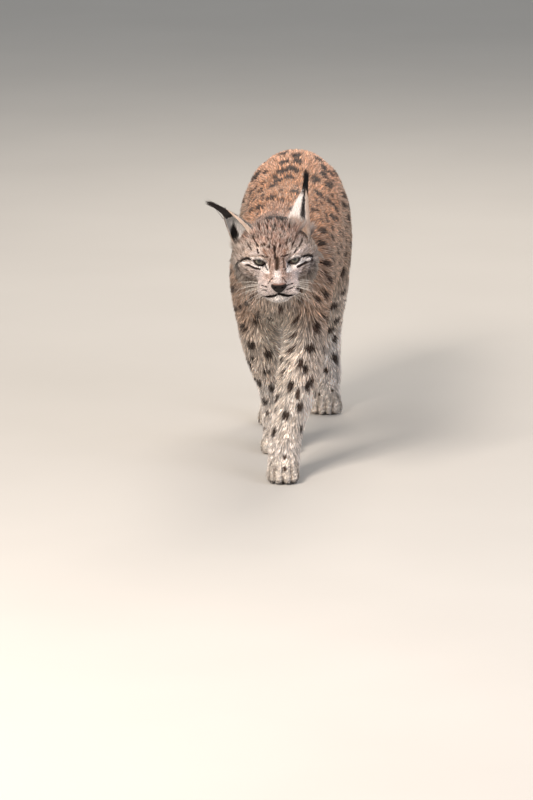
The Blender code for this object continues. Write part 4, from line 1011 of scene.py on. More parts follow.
def carve_face(mesh):
    """Cuts the mouth, clears the eyes and makes room for the leather; gives the lips' line."""
    points, normals = read(mesh), read_normals(mesh)
    lips, parting = mouth_lines(tree_of(mesh))
    face = to_head(points)[:, 1] < 4
    away = np.full(len(points), 1.0)
    away[face] = line_distance(points[face], lips)
    (depth, half), (height, roll, apart) = MOUTH_GROOVE, LIP_ROLL
    points -= normals * (depth * bell(away, half) - height * bell(away - apart, roll))[:, None]
    away[face] = line_distance(points[face], parting)
    depth, half = PARTING_GROOVE
    points -= normals * (depth * bell(away, half))[:, None]
    place = to_head(points)
    inside = (from_opening(place) < SKIN_EDGE) & (place[:, 1] < 1.2)
    place[inside, 1] = SKIN_BACK
    points[inside] = from_head(place[inside])
    near = (place[:, 1] < 1.6) & (np.abs(place[:, 2]) < 2.0)
    points[near] = from_head(clear_of_eyes(place[near]))
    place = to_head(points)
    under = on_nose(place, 0.93)
    place[under, 1] += 0.9
    points[under] = from_head(place[under])
    write(mesh, points)
    return lips


def make_skin():
    """One closed skin from the frame's flesh, inset by the depth of the coat, with the face worked out."""
    skin = join_flesh()
    mesh = skin.data
    draw_in(mesh)
    toes(mesh)
    for limit in (2.6, 1.2):
        refine(mesh, lambda middles, limit=limit: on_face(middles, limit))
        fit_head(mesh, sink_at(read(mesh)))
    lips = carve_face(mesh)
    mesh.shade_smooth()
    mesh.materials.append(SKIN)
    return skin, lips


# Markings


def spots_along(points, lie, count, apart, seed):
    """Scattered places at least the given distance apart, with the way the coat runs at each."""
    kept = []
    for index in np.random.default_rng(seed).permutation(len(points)):
        if len(kept) >= count:
            break
        if not any(np.sum((points[index] - points[k]) ** 2) < apart**2 for k in kept):
            kept.append(index)
    return points[kept], lie[kept]


class Markings:
    """The pattern of the coat, asked for by the skin and by every tuft alike."""

    def __init__(self, tree, points, normals, lips):
        self.lips = lips
        self.marks = []
        for tone, half, soft, line in FACE_MARKS:
            places = np.array([from_photo(pixel, tree) for pixel in line])
            self.marks.append((linear(tone), half * 0.001, soft * 0.001, places))
        self.place_spots(tree, points, normals)
        self.near = KDTree(len(self.spots))
        for i, spot in enumerate(self.spots):
            self.near.insert(Vector(spot), i)
        self.near.balance()

    def place_spots(self, tree, points, normals):
        """Lays the spots of the back from the photograph and scatters the others over the skin."""
        shares, runs = coat_at(points)
        lie = coat_lie(points, normals, runs)
        spots, ways, sizes, tones = [], [], [], []

        def scatter(mask, count, apart, seed, long, wide, tone):
            """Scatters spots of a size and tone over the masked part of the skin."""
            found, way = spots_along(points[mask], lie[mask], count, apart, seed)
            draw = np.random.default_rng(seed + 50)
            spots.extend(found)
            ways.extend(way)
            for _ in found:
                grow = draw.uniform(0.75, 1.3)
                sizes.append((long * grow, wide * grow * draw.uniform(0.8, 1.2)))
                tones.append(linear(tone))

        for pixel in BACK_SPOTS:
            place = from_photo(pixel, tree)
            spots.append(place)
            ways.append(lie[np.argmin(((points - place) ** 2).sum(axis=1))])
            sizes.append(BACK_SPOT_SIZE)
            tones.append(linear("#1C1416"))
        across, along, high = (points - SHIFT).T
        behind_head = to_head(points)[:, 1]
        trunk = (high > 0.33) & (behind_head > 8.0) & (along > -0.12) & (along < 0.57)
        seen = (np.abs(across) < 0.060) & (high > 0.54)
        off_belly = shares[:, KINDS.index("belly")] < 0.4
        scatter(trunk & ~seen, 210, 0.030, 1, 0.0140, 0.0064, "#35241C")
        scatter(trunk & seen & (along < 0.30), 26, 0.034, 2, 0.0125, 0.0060, "#3A2820")
        scatter((high < 0.33) & (high > 0.10) & off_belly, 120, 0.030, 3, 0.0110, 0.0076, "#2C1A11")
        scatter((high < 0.11) & (high > 0.03), 40, 0.021, 4, 0.0060, 0.0044, "#4A3325")
        scatter((behind_head > 9.0) & (along < -0.12), 46, 0.030, 5, 0.0125, 0.0052, "#46332A")
        self.spots, self.ways = np.array(spots), np.array(ways)
        self.sizes, self.tones = np.array(sizes), np.array(tones)

    def tint(self, points, shares):
        """Colour of the coat at points, and how much of it belongs to a dark mark."""
        colour = shares @ KIND_COLOURS
        model = points - SHIFT
        place = to_head(points)
        inner = step(0.010, -0.030, np.abs(model[:, 0]) - 0.035) * step(0.30, 0.24, model[:, 2])
        inner *= step(0.06, 0.10, model[:, 2])
        colour = mix(colour, linear("#E6DACD"), 0.65 * inner)
        # painted shade in the partings between the toes
        colour = mix(colour, linear("#6B584A"), 0.75 * between_toes(points))
        mottle = noise(points, 0.030, 1) * 0.5 + noise(points, 0.012, 2) * 0.5
        colour = colour * (1 + 0.16 * mottle * step(-4.0, 3.0, place[:, 1]))[:, None]
        dark = np.zeros(len(points))
        wobble = noise(points, 0.006, 3) * 0.20
        for i, point in enumerate(points):
            for _, index, away in self.near.find_n(Vector(point), 2):
                if away > 0.03:
                    break
                off = point - self.spots[index]
                along = off @ self.ways[index]
                long, wide = self.sizes[index]
                aside = max(off @ off - along * along, 0.0)
                # 1 at the spot's edge, which is ragged; the spot fades out round it
                value = math.sqrt((along / long) ** 2 + aside / wide**2) + wobble[i]
                share = min(max((1.22 - value) / 0.4, 0.0), 1.0)
                if share > 0:
                    share *= 0.96
                    colour[i] += (self.tones[index] - colour[i]) * share
                    dark[i] = max(dark[i], share)
        face = np.where(place[:, 1] < 6.5)[0]
        if len(face):
            colour[face], dark[face] = self.face(points[face], place[face], colour[face], dark[face])
        return colour, dark

    def face(self, points, place, colour, dark):
        """The marks of the face over its ground colours."""
        colour = colour.copy()
        from_lid = from_opening(place)
        across = np.abs(place[:, 0])
        front = step(2.2, 1.0, place[:, 1])
        low = step(0.35, -0.35, place[:, 2] + 0.25 * (across - 3.7))
        grain = noise(points, 0.0045, 6)
        fleck = step(0.10, 0.55, grain + 0.5 * noise(points, 0.011, 9))
        fleck *= 0.30 + 0.30 * step(1.0, 2.6, place[:, 2]) - 0.22 * step(-1.5, -3.0, place[:, 1])
        colour = mix(colour, linear("#3A291F"), fleck * 1.35)
        under_eye = bell(across - 5.0, 2.2) * bell(place[:, 2] + 3.2, 1.5)
        colour = mix(colour, linear("#75665D"), 0.42 * under_eye * front * step(-0.8, 0.5, grain))
        side = bell(across - 6.4, 1.8) * bell(place[:, 2] + 1.2, 0.9)
        colour = mix(colour, linear("#DAD1CC"), 0.55 * side * step(-0.5, 0.4, grain))
        white = front * step(0.72 + 0.24 * low, 0.46 + 0.24 * low, from_lid) * (0.86 + 0.14 * low)
        colour = mix(colour, linear("#FBF3EF"), white)
        for tone, half, soft, line in self.marks:
            away = line_distance(points, line) + 0.0007 * grain * (half > 0.0016)
            share = step(half + soft, half - soft, away)
            colour = mix(colour, tone, share)
            dark = np.maximum(dark, share * (tone.mean() < 0.12))
        rim = front * step(0.36, 0.26, from_lid)
        colour = mix(colour, linear("#120C0B"), rim)
        lips = step(0.0046, 0.0034, line_distance(points, self.lips)) * step(-1.0, -2.0, place[:, 1])
        colour = mix(colour, linear("#1B1312"), lips)
        return colour, np.maximum(dark, np.maximum(rim, lips))


# Tufts


def tuft_arrays(roots, middles, tips, normals, widths, rings=2):
    """Tapered three-sided tufts through root, middle and tip, as points, triangles and place along."""
    count = len(roots)
    ways = unit(tips - roots)
    sides = unit(np.cross(ways, normals))
    points, along = [], []
    corners = np.array([(1.0, -0.3), (-1.0, -0.3), (0.0, 1.0)])
    shares = [0.0, 0.5] if rings == 2 else [0.0, 0.33, 0.68]
    for t in shares:
        line = (1 - t) ** 2 * roots + 2 * t * (1 - t) * middles + t * t * tips
        wide = widths * 0.5 * (0.85 + 0.75 * t - 1.5 * t * t)
        for across, high in corners:
            rise = high * wide * TUFT_THICKNESS
            points.append(line + sides * (across * wide)[:, None] + normals * rise[:, None])
            along.append(np.full(count, t))
    points.append(tips)
    along.append(np.ones(count))
    per = len(points)
    points = np.stack(points, axis=1).reshape(-1, 3)
    along = np.stack(along, axis=1).ravel()
    last = per - 4
    faces = [(0, 2, 1)] + ring_faces(len(shares), 3)
    faces += [(last + k, last + (k + 1) % 3, per - 1) for k in range(3)]
    triangles = (np.array(faces) + (np.arange(count) * per)[:, None, None]).reshape(-1, 3)
    return points, triangles, along, per


def tuft_object(name, arrays, tints, tip_tints, lies, patches):
    """A joined mesh of tufts with its colours, painted shade towards each tuft's root, its shading and its own
    map.
    """
    points, triangles, along, per = arrays
    obj = mesh_from(name, points, triangles, FUR)
    share = along[:, None]
    tint = np.repeat(tints, per, axis=0) * (1 - share) + np.repeat(tip_tints, per, axis=0) * share
    # painted shade: each tuft darker towards its root, where the depth of the coat lies in shadow
    tint *= 0.72 + 0.28 * np.minimum(share * 1.6, 1)
    paint(obj.data, "tint", tint)
    paint(obj.data, "lie", np.repeat(lies, per, axis=0), "FLOAT_VECTOR")
    rings = (per - 1) // 3
    spot = [(side, ring / rings) for ring in range(rings) for side in (0.0, 1.0, 0.5)] + [(0.5, 1.0)]
    uv = np.repeat(patches, per, axis=0) + (np.tile(spot, (len(patches), 1)) - 0.5) * TUFT_IN_MAP
    layer = obj.data.uv_layers.new(name="OFBake")
    layer.data.foreach_set("uv", uv[triangles.ravel()].ravel())
    return obj


def drawn_roots(corners, wanted, seed):
    """Places on triangles, so many to the square metre as wanted: which triangle, and weights in it."""
    draw = np.random.default_rng(seed)
    a, b, c = corners.transpose(1, 0, 2)
    area = np.linalg.norm(np.cross(b - a, c - a), axis=1) / 2
    total = np.cumsum(area * wanted((a + b + c) / 3))
    count = int(total[-1])
    at = (np.arange(count) + draw.uniform(0, 1, count)) / count * total[-1]
    face = np.minimum(np.searchsorted(total, at), len(corners) - 1)
    r1, r2 = np.sqrt(draw.uniform(0, 1, count)), draw.uniform(0, 1, count)
    return face, np.column_stack([1 - r1, r1 * (1 - r2), r1 * r2])


def unwrap(mesh, wanted):
    """Map of the wanted faces of the skin, unwrapped by their own shape, for each of the skin's loops."""
    bm = bmesh.new()
    bm.from_mesh(mesh)
    layer = bm.faces.layers.int.new("source")
    for face in bm.faces:
        face[layer] = face.index
    bmesh.ops.delete(bm, geom=[face for face in bm.faces if not wanted[face.index]], context="FACES")
    stretch = bpy.data.meshes.new("stretch")
    bm.to_mesh(stretch)
    bm.free()
    part = bpy.data.objects.new("stretch", stretch)
    bpy.context.scene.collection.objects.link(part)
    edit_whole(part, bpy.ops.uv.smart_project, angle_limit=math.radians(72), island_margin=0.006)
    uv = values_of(stretch.uv_layers.active.data, "uv", 2)
    sources = values_of(stretch.attributes["source"].data, "value", 1, int)
    starts = values_of(stretch.polygons, "loop_start", 1, int)
    totals = values_of(stretch.polygons, "loop_total", 1, int)
    whole_starts = values_of(mesh.polygons, "loop_start", 1, int)
    out = np.zeros((len(mesh.loops), 2))
    for k in range(totals.max()):
        has = totals > k
        out[whole_starts[sources[has]] + k] = uv[starts[has] + k]
    bpy.data.objects.remove(part, do_unlink=True)
    bpy.data.meshes.remove(stretch)
    return out


def piece_of_faces(mesh):
    """Which coat piece each face of the skin belongs to, by the nearest node."""
    names = list(PIECES)
    places, owners = [], []
    for index, nodes in enumerate(PIECES.values()):
        for node in nodes:
            points = read(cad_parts[node].data)
            places.append(points)
            owners += [index] * len(points)
    places = np.vstack(places)
    tree = KDTree(len(places))
    for i, place in enumerate(places):
        tree.insert(Vector(place), i)
    tree.balance()
    middles = values_of(mesh.polygons, "center", 3)
    owner = np.array([owners[tree.find(Vector(place))[1]] for place in middles])
    front = (to_head(middles)[:, 1] < 3.2) & (owner == names.index("coat_head"))
    owner[front] = names.index("coat_face")
    return owner


def tufts_to_m2(middles, lips):
    """Tufts to the square metre at places of the skin: none on the lids, leather, lips and soles."""
    shares, _ = coat_at(middles)
    place = to_head(middles)
    bare = (place[:, 1] < 1.3) & (from_opening(place) < BARE_LID)
    bare |= on_nose(place, 1.02)
    bare |= (place[:, 1] < 0) & (line_distance(middles, lips) < BARE_LIP)
    bare |= middles[:, 2] < BARE_SOLE
    return shares @ KIND_VALUES[:, TUFTS_TO_CM2] * 1e4 * ~bare


def lay_tufts(tree, roots, lie, side, long, stand):
    """Middles and tips of tufts that lie along the skin and stand off it, with a little stray sideways."""
    middles, tips = np.empty_like(roots), np.empty_like(roots)
    for i, root in enumerate(roots):
        at, lean = nearest(tree, root + lie[i] * long[i] * MIDDLE_AT)
        middles[i] = at + lean * stand[i] * 0.95
        at, lean = nearest(tree, root + lie[i] * long[i] * TIP_AT)
        tips[i] = at + lean * stand[i]
    tips += side * (chance.normal(0, 0.08, len(roots)) * long)[:, None]
    tips[:, 2] = np.maximum(tips[:, 2], 0.0006)
    middles[:, 2] = np.maximum(middles[:, 2], 0.0016)
    return middles, tips


def grizzle(roots, colour, dark, shares):
    """Colours of tufts at root and tip: lighter and darker ones, and peppered, banded and pale ends."""
    count = len(roots)
    place = to_head(roots)
    face_part = step(6.0, 0.0, place[:, 1])
    light = np.exp(chance.normal(0, 1, count) * (0.38 - 0.12 * face_part) + 0.42 * noise(roots, 0.007, 12))
    warm = chance.normal(0, 0.035, count)
    cast = light[:, None] * np.column_stack([1 + warm, np.ones(count), 1 - warm])
    colour = colour * cast
    ends = colour.copy()
    pepper = (chance.uniform(0, 1, count) < 0.30) & (place[:, 1] < 6) & (dark < 0.3)
    pepper &= colour.mean(axis=1) < 0.5
    ends[pepper] = mix(ends[pepper], linear("#EDE4DE"), 0.55)
    ends *= (1.14 - 0.12 * dark)[:, None]
    agouti = shares[:, [KINDS.index(kind) for kind in AGOUTI]].sum(axis=1)
    banded = chance.uniform(0, 1, count) < 0.26 * agouti
    ends[banded] = mix(ends[banded], linear("#3C2A24"), 0.70)
    pale = ~banded & (chance.uniform(0, 1, count) < 0.20 + 0.16 * agouti) & (dark < 0.2)
    ends[pale] = mix(ends[pale], linear("#F6E4D6"), 0.55)
    return colour, ends


def make_coat(skin, markings):
    """The whole coat: tufts rooted in the skin, each piece of it a joined mesh."""
    mesh = skin.data
    corners, loops, faces = triangles_of(mesh)
    triangle, weights = drawn_roots(read(mesh)[corners], lambda m: tufts_to_m2(m, markings.lips), 21)
    weights = weights[:, :, None]
    roots = (read(mesh)[corners[triangle]] * weights).sum(axis=1)
    ups = unit((read_normals(mesh)[corners[triangle]] * weights).sum(axis=1))
    shares, runs = coat_at(roots)
    values = shares @ KIND_VALUES
    lie = coat_lie(roots, ups, runs)
    count = len(roots)
    turn = chance.normal(0, 0.14, count) + 0.22 * noise(roots, 0.024, 8)
    side = np.cross(ups, lie)
    lie = unit(lie * np.cos(turn)[:, None] + side * np.sin(turn)[:, None])
    long = values[:, LENGTH] * 0.001 * chance.uniform(0.72, 1.15, count)
    wide = values[:, WIDTH] * 0.001 * chance.uniform(0.7, 1.25, count)
    stand = values[:, STAND] * 0.001 * chance.uniform(0.35, 1.05, count)
    middles, tips = lay_tufts(tree_of(mesh), roots, lie, side, long, stand)
    # a tuft has the colour of the place under its widest part, which is what shows
    colour, dark = markings.tint(roots + lie * (long * WIDEST)[:, None], shares)
    colour, ends = grizzle(roots, colour, dark, shares)
    roots = roots - ups * 0.0008
    lies = unit(ups + lie * 0.18)
    owner = piece_of_faces(mesh)
    for index, name in enumerate(PIECES):
        mine = np.where(owner[faces[triangle]] == index)[0]
        mine = np.sort(chance.permutation(mine)[:MOST_TUFTS])
        patches = (unwrap(mesh, owner == index)[loops[triangle[mine]]] * weights[mine]).sum(axis=1)
        arrays = tuft_arrays(roots[mine], middles[mine], tips[mine], ups[mine], wide[mine])
        piece = tuft_object(name, arrays, colour[mine], ends[mine], lies[mine], patches)
        slot = "grey_fur" if name in GREY_PIECES else "pale_fur" if name in PALE_PIECES else "tawny_fur"
        claim(piece, slot)


# Eyes and lids


def opening_line(steps):
    """The edge of the left eye's opening, across and up, centimetres."""
    low = smooth_line(LOWER_LID, steps)[:-1]
    high = smooth_line(UPPER_LID, steps)[::-1][:-1]
    return np.vstack([low, high])


def make_eyes():
    """Eyeballs whose front bulges under the cornea, mapped from the middle of the pupil outwards."""
    for side, node in ((1, "eye_left"), (-1, "eye_right")):
        bpy.ops.object.select_all(action="DESELECT")
        bpy.ops.mesh.primitive_uv_sphere_add(segments=64, ring_count=64, radius=EYE_RADIUS, location=(0, 0, 0))
        eye = bpy.context.object
        eye.name = "eyeball_" + node[4:]
        mesh = eye.data
        points = read(mesh)
        angle = np.arccos(np.clip(points[:, 2] / EYE_RADIUS, -1, 1))
        points *= (1 + CORNEA_BULGE * step(CORNEA_EDGE, 0.0, angle))[:, None]
        gaze = Vector((0.03 * side, -math.cos(GAZE_RISE), math.sin(GAZE_RISE)))
        aim = np.array(gaze.to_track_quat("Z", "Y").to_matrix())
        centre = np.array([EYE_CENTRE.x * side, EYE_CENTRE.y, EYE_CENTRE.z])
        points = from_head((points @ aim.T + centre) * 100)
        write(mesh, points)
        while mesh.uv_layers:
            mesh.uv_layers.remove(mesh.uv_layers[0])
        layer = mesh.uv_layers.new(name="UVMap")
        off = points - from_head(centre * 100)
        around = np.arctan2(off[:, 0], off[:, 2]) / (2 * math.pi) + 0.5
        uv = np.column_stack([angle / math.pi, around])[values_of(mesh.loops, "vertex_index", 1, int)]
        layer.data.foreach_set("uv", uv.ravel())
        mesh.materials.append(EYE)
        mesh.shade_smooth()
        claim(eye, "iris", node)


def make_lids():
    """Both lids round each eye: a black rim on the eyeball that runs out under the short hair."""
    line = opening_line(10)
    count = len(line)
    off = line - np.array(LID_MIDDLE)
    radii = np.hypot(off[:, 0], off[:, 1])
    centre = EYE_CENTRE * 100

    def ball_front(across, up, gap, least):
        """How far along the head's Y the eyeball's front lies, with a gap over it."""
        over = (EYE_RADIUS * 100 + gap) ** 2 - (across - centre.x) ** 2 - (up - centre.z) ** 2
        return centre.y - np.sqrt(np.maximum(over, least)), over > 0

    # past the ball's side the rim stays 8 mm before the ball's middle
    rim, _ = ball_front(line[:, 0], line[:, 1], LID_THICKNESS, 0.64)
    for side, name in ((1, "lids_left"), (-1, "lids_right")):
        rings, tones = [], []
        for outside, drop, share in LID_RINGS:
            across, up = (line + off / radii[:, None] * outside).T
            depth = (rim + drop) * (1 - share) + (face_depth(across, up, LID_LEVEL) + drop) * share
            if outside > 0:
                front, over_ball = ball_front(across, up, 0.05, 0)
                depth = np.where(over_ball, np.minimum(depth, front), depth)
            rings.append(from_head(np.column_stack([across * side, depth, up])))
            tones.append(mix(linear("#0F0B0A"), linear("#CDBEB7"), np.full(count, step(0.16, 0.22, outside))))
        triangles = np.array(ring_faces(len(rings), count))
        lids = mesh_from(name, np.vstack(rings), triangles[:, ::-side], LID)
        paint(lids.data, "tint", np.vstack(tones))
        thicken(lids, 0.0005)
        claim(lids, "black_fur")


# Nose


def nose_outline(steps):
    """The leather's whole outline, across and up."""
    half = smooth_line(NOSE_LINE, steps)
    return np.vstack([half, half[-2:0:-1] * [-1, 1]])


def on_nose(place, grow):
    """Whether points of the head lie within the grown outline of the leather, seen from the front."""
    reach = outline_reach(nose_outline(4), NOSE_MIDDLE, place[:, 0], place[:, 2])
    return (reach < grow) & (place[:, 1] < NOSE_FRONT)


def nostrils(across, up):
    """How deep in the nostrils places of the leather lie: a slanted hole, and a slit out from it."""
    hollow = np.zeros(len(across))
    turn = math.radians(-28)
    for side in (1, -1):
        x, z = across * side - 0.70, up + 3.22
        u, v = x * math.cos(turn) + z * math.sin(turn), -x * math.sin(turn) + z * math.cos(turn)
        hole = np.exp(-((u / 0.30) ** 2 + (v / 0.17) ** 2) ** 1.5)
        slit = np.exp(-(((x - 0.34) / 0.34) ** 2 + ((z - 0.10) / 0.09) ** 2) ** 1.5) * 0.6
        hollow = np.maximum(hollow, np.maximum(hole, slit))
    return hollow


def make_nose():
    """The bare leather: a pad on the tip of the muzzle with comma-shaped nostrils and a parting."""
    line = nose_outline(6)
    count = len(line)
    scales = np.concatenate([np.linspace(0.04, 1.0, 22), [1.03, 1.05]])
    across, up = (NOSE_MIDDLE + (line - NOSE_MIDDLE) * scales[:, None, None]).reshape(-1, 2).T
    share = np.repeat(scales, count)
    hollow = nostrils(across, up)
    depth = face_depth(across, up, LEATHER_LEVEL) + 0.30 * step(0.93, 1.05, share) ** 1.2 + hollow * 0.55
    depth += 0.07 * bell(across, 0.06) * step(-2.9, -3.4, up)
    depth -= 0.05 * bell(np.abs(across) - 0.72, 0.35) * step(-2.9, -2.6, up)
    across, up = np.append(across, NOSE_MIDDLE[0]), np.append(up, NOSE_MIDDLE[1])
    depth = np.append(depth, face_depth(across[-1:], up[-1:], LEATHER_LEVEL))
    points = from_head(np.column_stack([across, depth, up]))
    last = len(points) - 1
    triangles = ring_faces(len(scales), count) + [(last, (i + 1) % count, i) for i in range(count)]
    leather = mesh_from("nose_leather", points, np.array(triangles), NOSE)
    edit_whole(leather, bpy.ops.mesh.normals_make_consistent, inside=False)
    pink = step(-2.62, -2.34, up)
    edge = step(0.80, 0.98, np.append(share, 0)) * (1 - pink)
    tone = mix(linear("#171010"), linear("#8B6C62"), pink * 0.8)
    # darker towards the leather's edge, and painted shade down in the nostrils
    tone = mix(tone, linear("#120B0A"), np.maximum(edge, np.append(hollow, 0)))
    paint(leather.data, "tint", tone)
    thicken(leather, 0.0006)
    claim(leather, "nose_leather", "nose")


# Ears


def ear_frame(name):
    """The turn from the ear's axes, its side, back and up, to the scene's, and its root."""
    root, way, look, _ = EARS[name]
    up = Vector(way).normalized()
    back = -(Vector(look) - up * up.dot(Vector(look))).normalized()
    place = Matrix.Translation([v * 0.01 for v in root])
    place = np.array(HEAD @ (place @ Matrix((back.cross(up), back, up)).transposed().to_4x4()))
    return place[:3, :3], place[:3, 3]


def ear_sheet(t, u, inset):
    """Places of the rolled leaf of an ear, t along it and u across, inset by a share of its wall."""
    wall = EAR_WALL * (1 - 0.8 * t)
    wide = EAR_WIDTH * (0.90 + 0.10 * t) * (1 - t**1.6) ** 0.85 + EAR_TIP_WIDTH
    sweep = np.radians(EAR_ROLL - EAR_UNROLL * t**0.7)
    x = (wide - EAR_FUR_DEPTH - inset * wall) * np.sin(u * sweep)
    y = (wide * 0.80 - EAR_FUR_DEPTH - inset * wall) * np.cos(u * sweep)
    z = EAR_LENGTH * ((1 + EAR_FOOT) * t - EAR_FOOT) - EAR_SIDES_DROP * u * u * (1 - t)
    return np.column_stack([x, y, z])


def ear_colours(t, u, outer):
    """Markings of an ear: pale patch and black edge on its back, grey-white hair in its cup with painted shade
    deep in it, and a black patch at the cup's edge that is partly black fur and partly painted shadow.
    """
    edge = np.abs(u)
    if outer:
        patch = step(0.98, 0.60, edge) * step(0.14, 0.30, t) * step(0.90, 0.74, t)
        tone = mix(linear("#A08776"), linear("#EAE2DE"), patch)
        border = step(0.32, 0.46, edge) * step(0.70, 0.62, edge) * step(0.12, 0.30, t)
        tone = mix(tone, linear("#171110"), np.maximum(border, step(0.72, 0.86, t)))
        return mix(tone, linear("#BBA798"), step(0.64, 0.76, edge) * step(0.94, 0.80, t))
    # painted shade deep in the cup, near its foot
    tone = mix(linear("#E4DFDB"), linear("#9A857C"), step(0.45, 0.1, t) * step(0.6, 0.2, edge) * 0.6)
    # black patch at the cup's inner edge: partly black fur, partly painted shadow
    tone = mix(tone, linear("#171112"), step(-0.40, -0.56, u) * step(0.56, 0.40, t) * step(0.04, 0.16, t))
    return mix(tone, linear("#2A2120"), step(0.80, 0.92, t))


def make_ears():
    """Ears: thin leaf, short fur on the back, long pale hairs in the cup, and the black tuft."""
    rows, columns = 30, 37
    u, t = (part.ravel() for part in np.meshgrid(np.linspace(-1, 1, columns), np.linspace(0, 1, rows)))
    inner = rows * columns
    grid = np.arange(inner).reshape(rows, columns)
    triangles = []

    def quad(a, b, c, d):
        triangles.extend([(a, b, c), (a, c, d)])

    for i in range(rows - 1):
        for k in range(columns - 1):
            a, b, c, d = grid[i, k], grid[i, k + 1], grid[i + 1, k + 1], grid[i + 1, k]
            quad(a, b, c, d)
            quad(a + inner, d + inner, c + inner, b + inner)
        for k in (0, columns - 1):
            quad(grid[i, k], grid[i + 1, k], grid[i + 1, k] + inner, grid[i, k] + inner)
    for i in (0, rows - 1):
        for k in range(columns - 1):
            quad(grid[i, k], grid[i, k + 1], grid[i, k + 1] + inner, grid[i, k] + inner)
    for name in EARS:
        turn, root = ear_frame(name)
        points = np.vstack([ear_sheet(t, u, 0.0), ear_sheet(t, u, 1.0)]) @ turn.T + root
        leaf = mesh_from(name.replace("ear", "ear_leaf"), points, np.array(triangles), SKIN)
        edit_whole(leaf, bpy.ops.mesh.normals_make_consistent, inside=False)
        paint(leaf.data, "tint", np.vstack([ear_colours(t, u, True), ear_colours(t, u, False)]))
        claim(leaf, "ear_fur", name)
        ear_fur(name, turn, root)
        tip_tuft(name)


def ear_fur(name, turn, root):
    """Short fur on the back and rim of an ear, long hairs across its cup."""
    draw = np.random.default_rng(31 + len(name))
    parts = []
    for outer, count in ((True, BACK_TUFTS), (False, CUP_TUFTS)):
        out = 1 if outer else -1
        t = draw.uniform(0.02, 0.97, count) ** (1.0 if outer else 1.1)
        u = draw.uniform(-0.99, 0.99, count)
        edge = np.abs(u)
        inset = 0.0 if outer else 1.0
        here = ear_sheet(t, u, inset)
        up = unit(ear_sheet(np.minimum(t + 0.01, 1.0), u, inset) - here)
        across = unit(ear_sheet(t, u + 0.01, inset) - here)
        normal = unit(np.cross(across, up)) * out
        if (normal * (here * [1, 1, 0])).sum() * out < 0:
            normal = -normal
        if outer:
            long = draw.uniform(0.006, 0.010, count) * (1 + 0.6 * (edge > 0.85))
            way = unit(up + across * draw.normal(0, 0.15, count)[:, None])
            stand, wide = draw.uniform(0.0008, 0.0018, count), draw.uniform(0.0010, 0.0016, count)
        else:
            long = (0.013 + 0.022 * step(0.35, 0.9, edge)) * draw.uniform(0.7, 1.2, count) * (1.15 - 0.85 * t)
            way = unit(up * 0.9 - across * (np.sign(u) * (0.25 + 0.75 * edge))[:, None]
                       + across * draw.normal(0, 0.12, count)[:, None])
            stand, wide = long * draw.uniform(0.10, 0.30, count), draw.uniform(0.0008, 0.0014, count)
        middles = here + way * (long * 0.5)[:, None] + normal * stand[:, None]
        tips = here + way * long[:, None] + normal * (stand * (1.0 if outer else 1.4))[:, None]
        tone = ear_colours(t, u, outer)
        if not outer:
            pale = tone.mean(axis=1) > 0.3
            tone[pale] = mix(linear("#FBF8F6"), linear("#A39A96"), draw.uniform(0, 0.5, pale.sum()))
        tone = tone * np.exp(draw.normal(0, 0.14, count))[:, None]
        patches = np.column_stack([(0.51 if outer else 0.01) + 0.24 * (u + 1), 0.02 + 0.96 * t])
        parts.append((here - normal * 0.0006, middles, tips, normal, wide, tone, patches))
    roots, middles, tips, normals, wide, tone, patches = (np.concatenate(part) for part in zip(*parts))
    roots, middles, tips = (points @ turn.T + root for points in (roots, middles, tips))
    normals = normals @ turn.T
    tufts = tuft_arrays(roots, middles, tips, normals, wide)
    claim(tuft_object(name.replace("ear", "ear_fur"), tufts, tone, tone * 1.1, normals, patches), "ear_fur")


def tip_tuft(name):
    """The long black pencil of hair on an ear's tip."""
    draw = np.random.default_rng(77 + len(name))
    root, way, look, bend = (np.array(v) for v in EARS[name])
    up, look, bend = unit(way), unit(look), unit(bend)
    across = unit(np.cross(up, look))
    tip = root * 0.01 + up * EAR_LENGTH
    count = TIP_TUFTS
    spread = draw.normal(0, 0.55, count)
    deep = draw.uniform(0, 1, count)
    long = EAR_TUFT * draw.uniform(0.45, 0.97, count) * (1 - 0.25 * np.abs(spread))
    roots = tip - up * (0.004 + 0.020 * deep)[:, None] + across * (0.0060 * spread * (0.5 + deep))[:, None]
    curl = unit(bend + across * (0.24 * spread)[:, None] + look * draw.normal(0, 0.13, count)[:, None])
    middles = roots + up * (0.010 + long * 0.35)[:, None] + look * draw.normal(0, 0.0012, count)[:, None]
    ends = tip + unit(up * 0.35 + curl) * long[:, None]
    normals = np.tile(turned(look), (count, 1))
    tufts = tuft_arrays(*(from_head(part * 100) for part in (roots, middles, ends)), normals,
                        draw.uniform(0.0010, 0.0019, count), rings=3)
    tone = linear("#1B1413") * np.exp(draw.normal(0, 0.3, count))[:, None]
    patches = np.column_stack([0.02 + 0.96 * (np.clip(spread, -1.4, 1.4) / 2.8 + 0.5), 0.02 + 0.96 * deep])
    obj = tuft_object(name.replace("ear", "ear_tuft"), tufts, tone, tone * 1.4, turned(normals), patches)
    claim(obj, "black_fur")


# Ruff and hair round the ears


